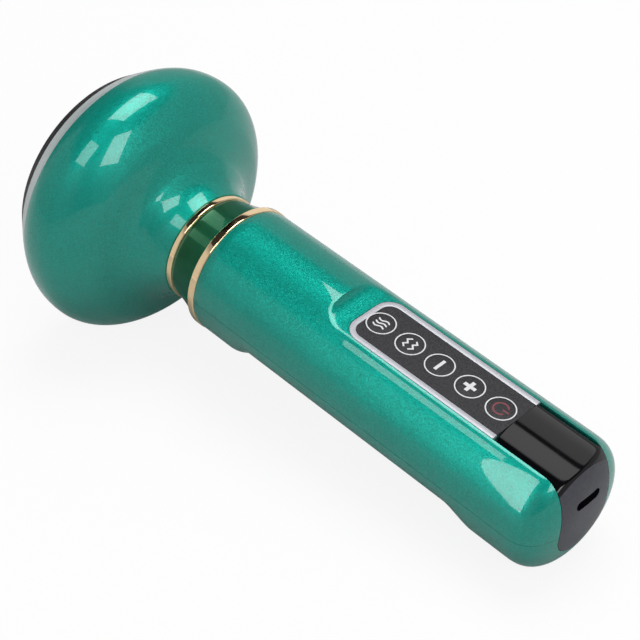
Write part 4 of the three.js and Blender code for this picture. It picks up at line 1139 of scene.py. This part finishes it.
def world():
    """White to the camera; to mirror rays a studio, darker overhead and to one side."""
    sky = bpy.data.worlds.new("studio")
    scene.world = sky
    sky.use_nodes = True
    nodes, links = sky.node_tree.nodes, sky.node_tree.links
    nodes.clear()
    out = nodes.new("ShaderNodeOutputWorld")
    coords = nodes.new("ShaderNodeTexCoord")
    ahead = (CAMERA_FORWARD - FLOOR_UP * CAMERA_FORWARD.dot(FLOOR_UP)).normalized()
    side = ahead.cross(FLOOR_UP).normalized()
    rise = dot_with(nodes, links, coords.outputs["Generated"], FLOOR_UP)
    turn = calc(nodes, links, "ARCTAN2", dot_with(nodes, links, coords.outputs["Generated"], side),
                dot_with(nodes, links, coords.outputs["Generated"], ahead))
    rise_share = calc(nodes, links, "MULTIPLY_ADD", rise, 0.5, 0.5)
    turn_share = calc(nodes, links, "MULTIPLY_ADD", turn, 0.5 / math.pi, 0.5)
    by_rise = ramp(nodes, links, rise_share, RISE_TONES)
    by_turn = ramp(nodes, links, turn_share, TURN_TONES)
    both = nodes.new("ShaderNodeMix")
    both.data_type, both.blend_type = "RGBA", "MULTIPLY"
    both.inputs["Factor"].default_value = 1.0
    links.new(by_rise, both.inputs["A"])
    links.new(by_turn, both.inputs["B"])
    path = nodes.new("ShaderNodeLightPath")
    mirror = nodes.new("ShaderNodeBackground")
    mirror.inputs["Strength"].default_value = 1.0
    links.new(both.outputs["Result"], mirror.inputs["Color"])
    plain = nodes.new("ShaderNodeBackground")
    plain.inputs["Color"].default_value = (1.0, 1.0, 1.0, 1.0)
    seen = calc(nodes, links, "MAXIMUM", path.outputs["Is Camera Ray"], path.outputs["Is Transmission Ray"])
    links.new(spread(nodes, links, seen, WORLD_DIFFUSE, 1.0), plain.inputs["Strength"])
    mix = nodes.new("ShaderNodeMixShader")
    links.new(path.outputs["Is Glossy Ray"], mix.inputs["Fac"])
    links.new(plain.outputs[0], mix.inputs[1])
    links.new(mirror.outputs[0], mix.inputs[2])
    links.new(mix.outputs[0], out.inputs["Surface"])


# Lamps: each softbox is given by its place, what it looks at, its size and its brightness
def placed(at, side, up, back):
    """The place of a lamp or a camera: what lies to its right, above and behind it."""
    matrix = Matrix((side, up, back)).transposed().to_4x4()
    matrix.translation = at * MM
    return matrix


def softbox(name, at, target, width, height, level, up=(0, 0, 1), lit=(), mirrored=False):
    """A rectangle of light, or of mirrored light alone; where pieces are named, it lights only those."""
    at = Vector(at)
    back = (at - Vector(target)).normalized()
    side = Vector(up).cross(back).normalized()
    lamp = bpy.data.lights.new(name, "AREA")
    lamp.shape = "RECTANGLE"
    lamp.size, lamp.size_y = width * MM, height * MM
    lamp.energy = level * math.pi * width * height * MM * MM
    obj = link(bpy.data.objects.new(name, lamp))
    obj.matrix_world = placed(at, side, back.cross(side), back)
    obj.visible_camera = False
    obj.visible_diffuse = not mirrored
    if lit:
        group = bpy.data.collections.new(name + "_lights")
        for piece in lit:
            group.objects.link(bpy.data.objects[piece])
        obj.light_linking.receiver_collection = group


floor()
world()
NECK_PIECES = ("gold_ring_lower", "neck_enamel", "gold_ring_upper")
HEAD_PIECES = ("rim_black", "silver_band", "head_paint") + NECK_PIECES
HANDLE_PIECES = ("front_paint", "back_paint", "panel_silver")
INSERT = ("insert_gloss",)
BUT_INSERT = [piece.name for piece in bpy.data.objects if piece.type == "MESH" and piece.name not in INSERT]
softbox("overhead", (-257, -1190, -108), (0, -20, 20), 740, 810, 4.7, (-0.17, 0, 0.985), BUT_INSERT)
softbox("behind_camera", (258, -850, 855), (18, -34, 27), 400, 580, 4.5, (0.57, 0.61, 0.55))
softbox("key_head", (738, -999, 60), (25, -33, 21), 420, 680, 3.3, lit=HEAD_PIECES)
softbox("key_end", (520, -335, 27), (14, -14, 168), 690, 186, 4.5, lit=HANDLE_PIECES, mirrored=True)
softbox("key_edge", (339, -519, -129), (12, -16, 130), 137, 126, 3.0, lit=HANDLE_PIECES, mirrored=True)
softbox("ring_side", (400, -115, -165), (0, 0, 55), 620, 620, 0.3, lit=NECK_PIECES, mirrored=True)
softbox("ring_back", (-352, -9, -135), (0, 0, 55), 620, 620, 0.45, lit=NECK_PIECES, mirrored=True)
softbox("insert_band", (-119, -372, 34), (3, -17, 172), 112, 300, 1.5, lit=INSERT, mirrored=True)
softbox("insert_side", (-271, -273, 34), (3, -17, 172), 200, 300, 0.85, lit=INSERT, mirrored=True)

camera_data = bpy.data.cameras.new("camera")
camera_data.lens = CAMERA_LENS
camera_data.sensor_width = CAMERA_SENSOR
camera_data.clip_start, camera_data.clip_end = CAMERA_CLIP
camera = link(bpy.data.objects.new("camera", camera_data))
right = CAMERA_FORWARD.cross(CAMERA_UP).normalized()
camera.matrix_world = placed(CAMERA_AT, right, right.cross(CAMERA_FORWARD), -CAMERA_FORWARD)
scene.camera = camera
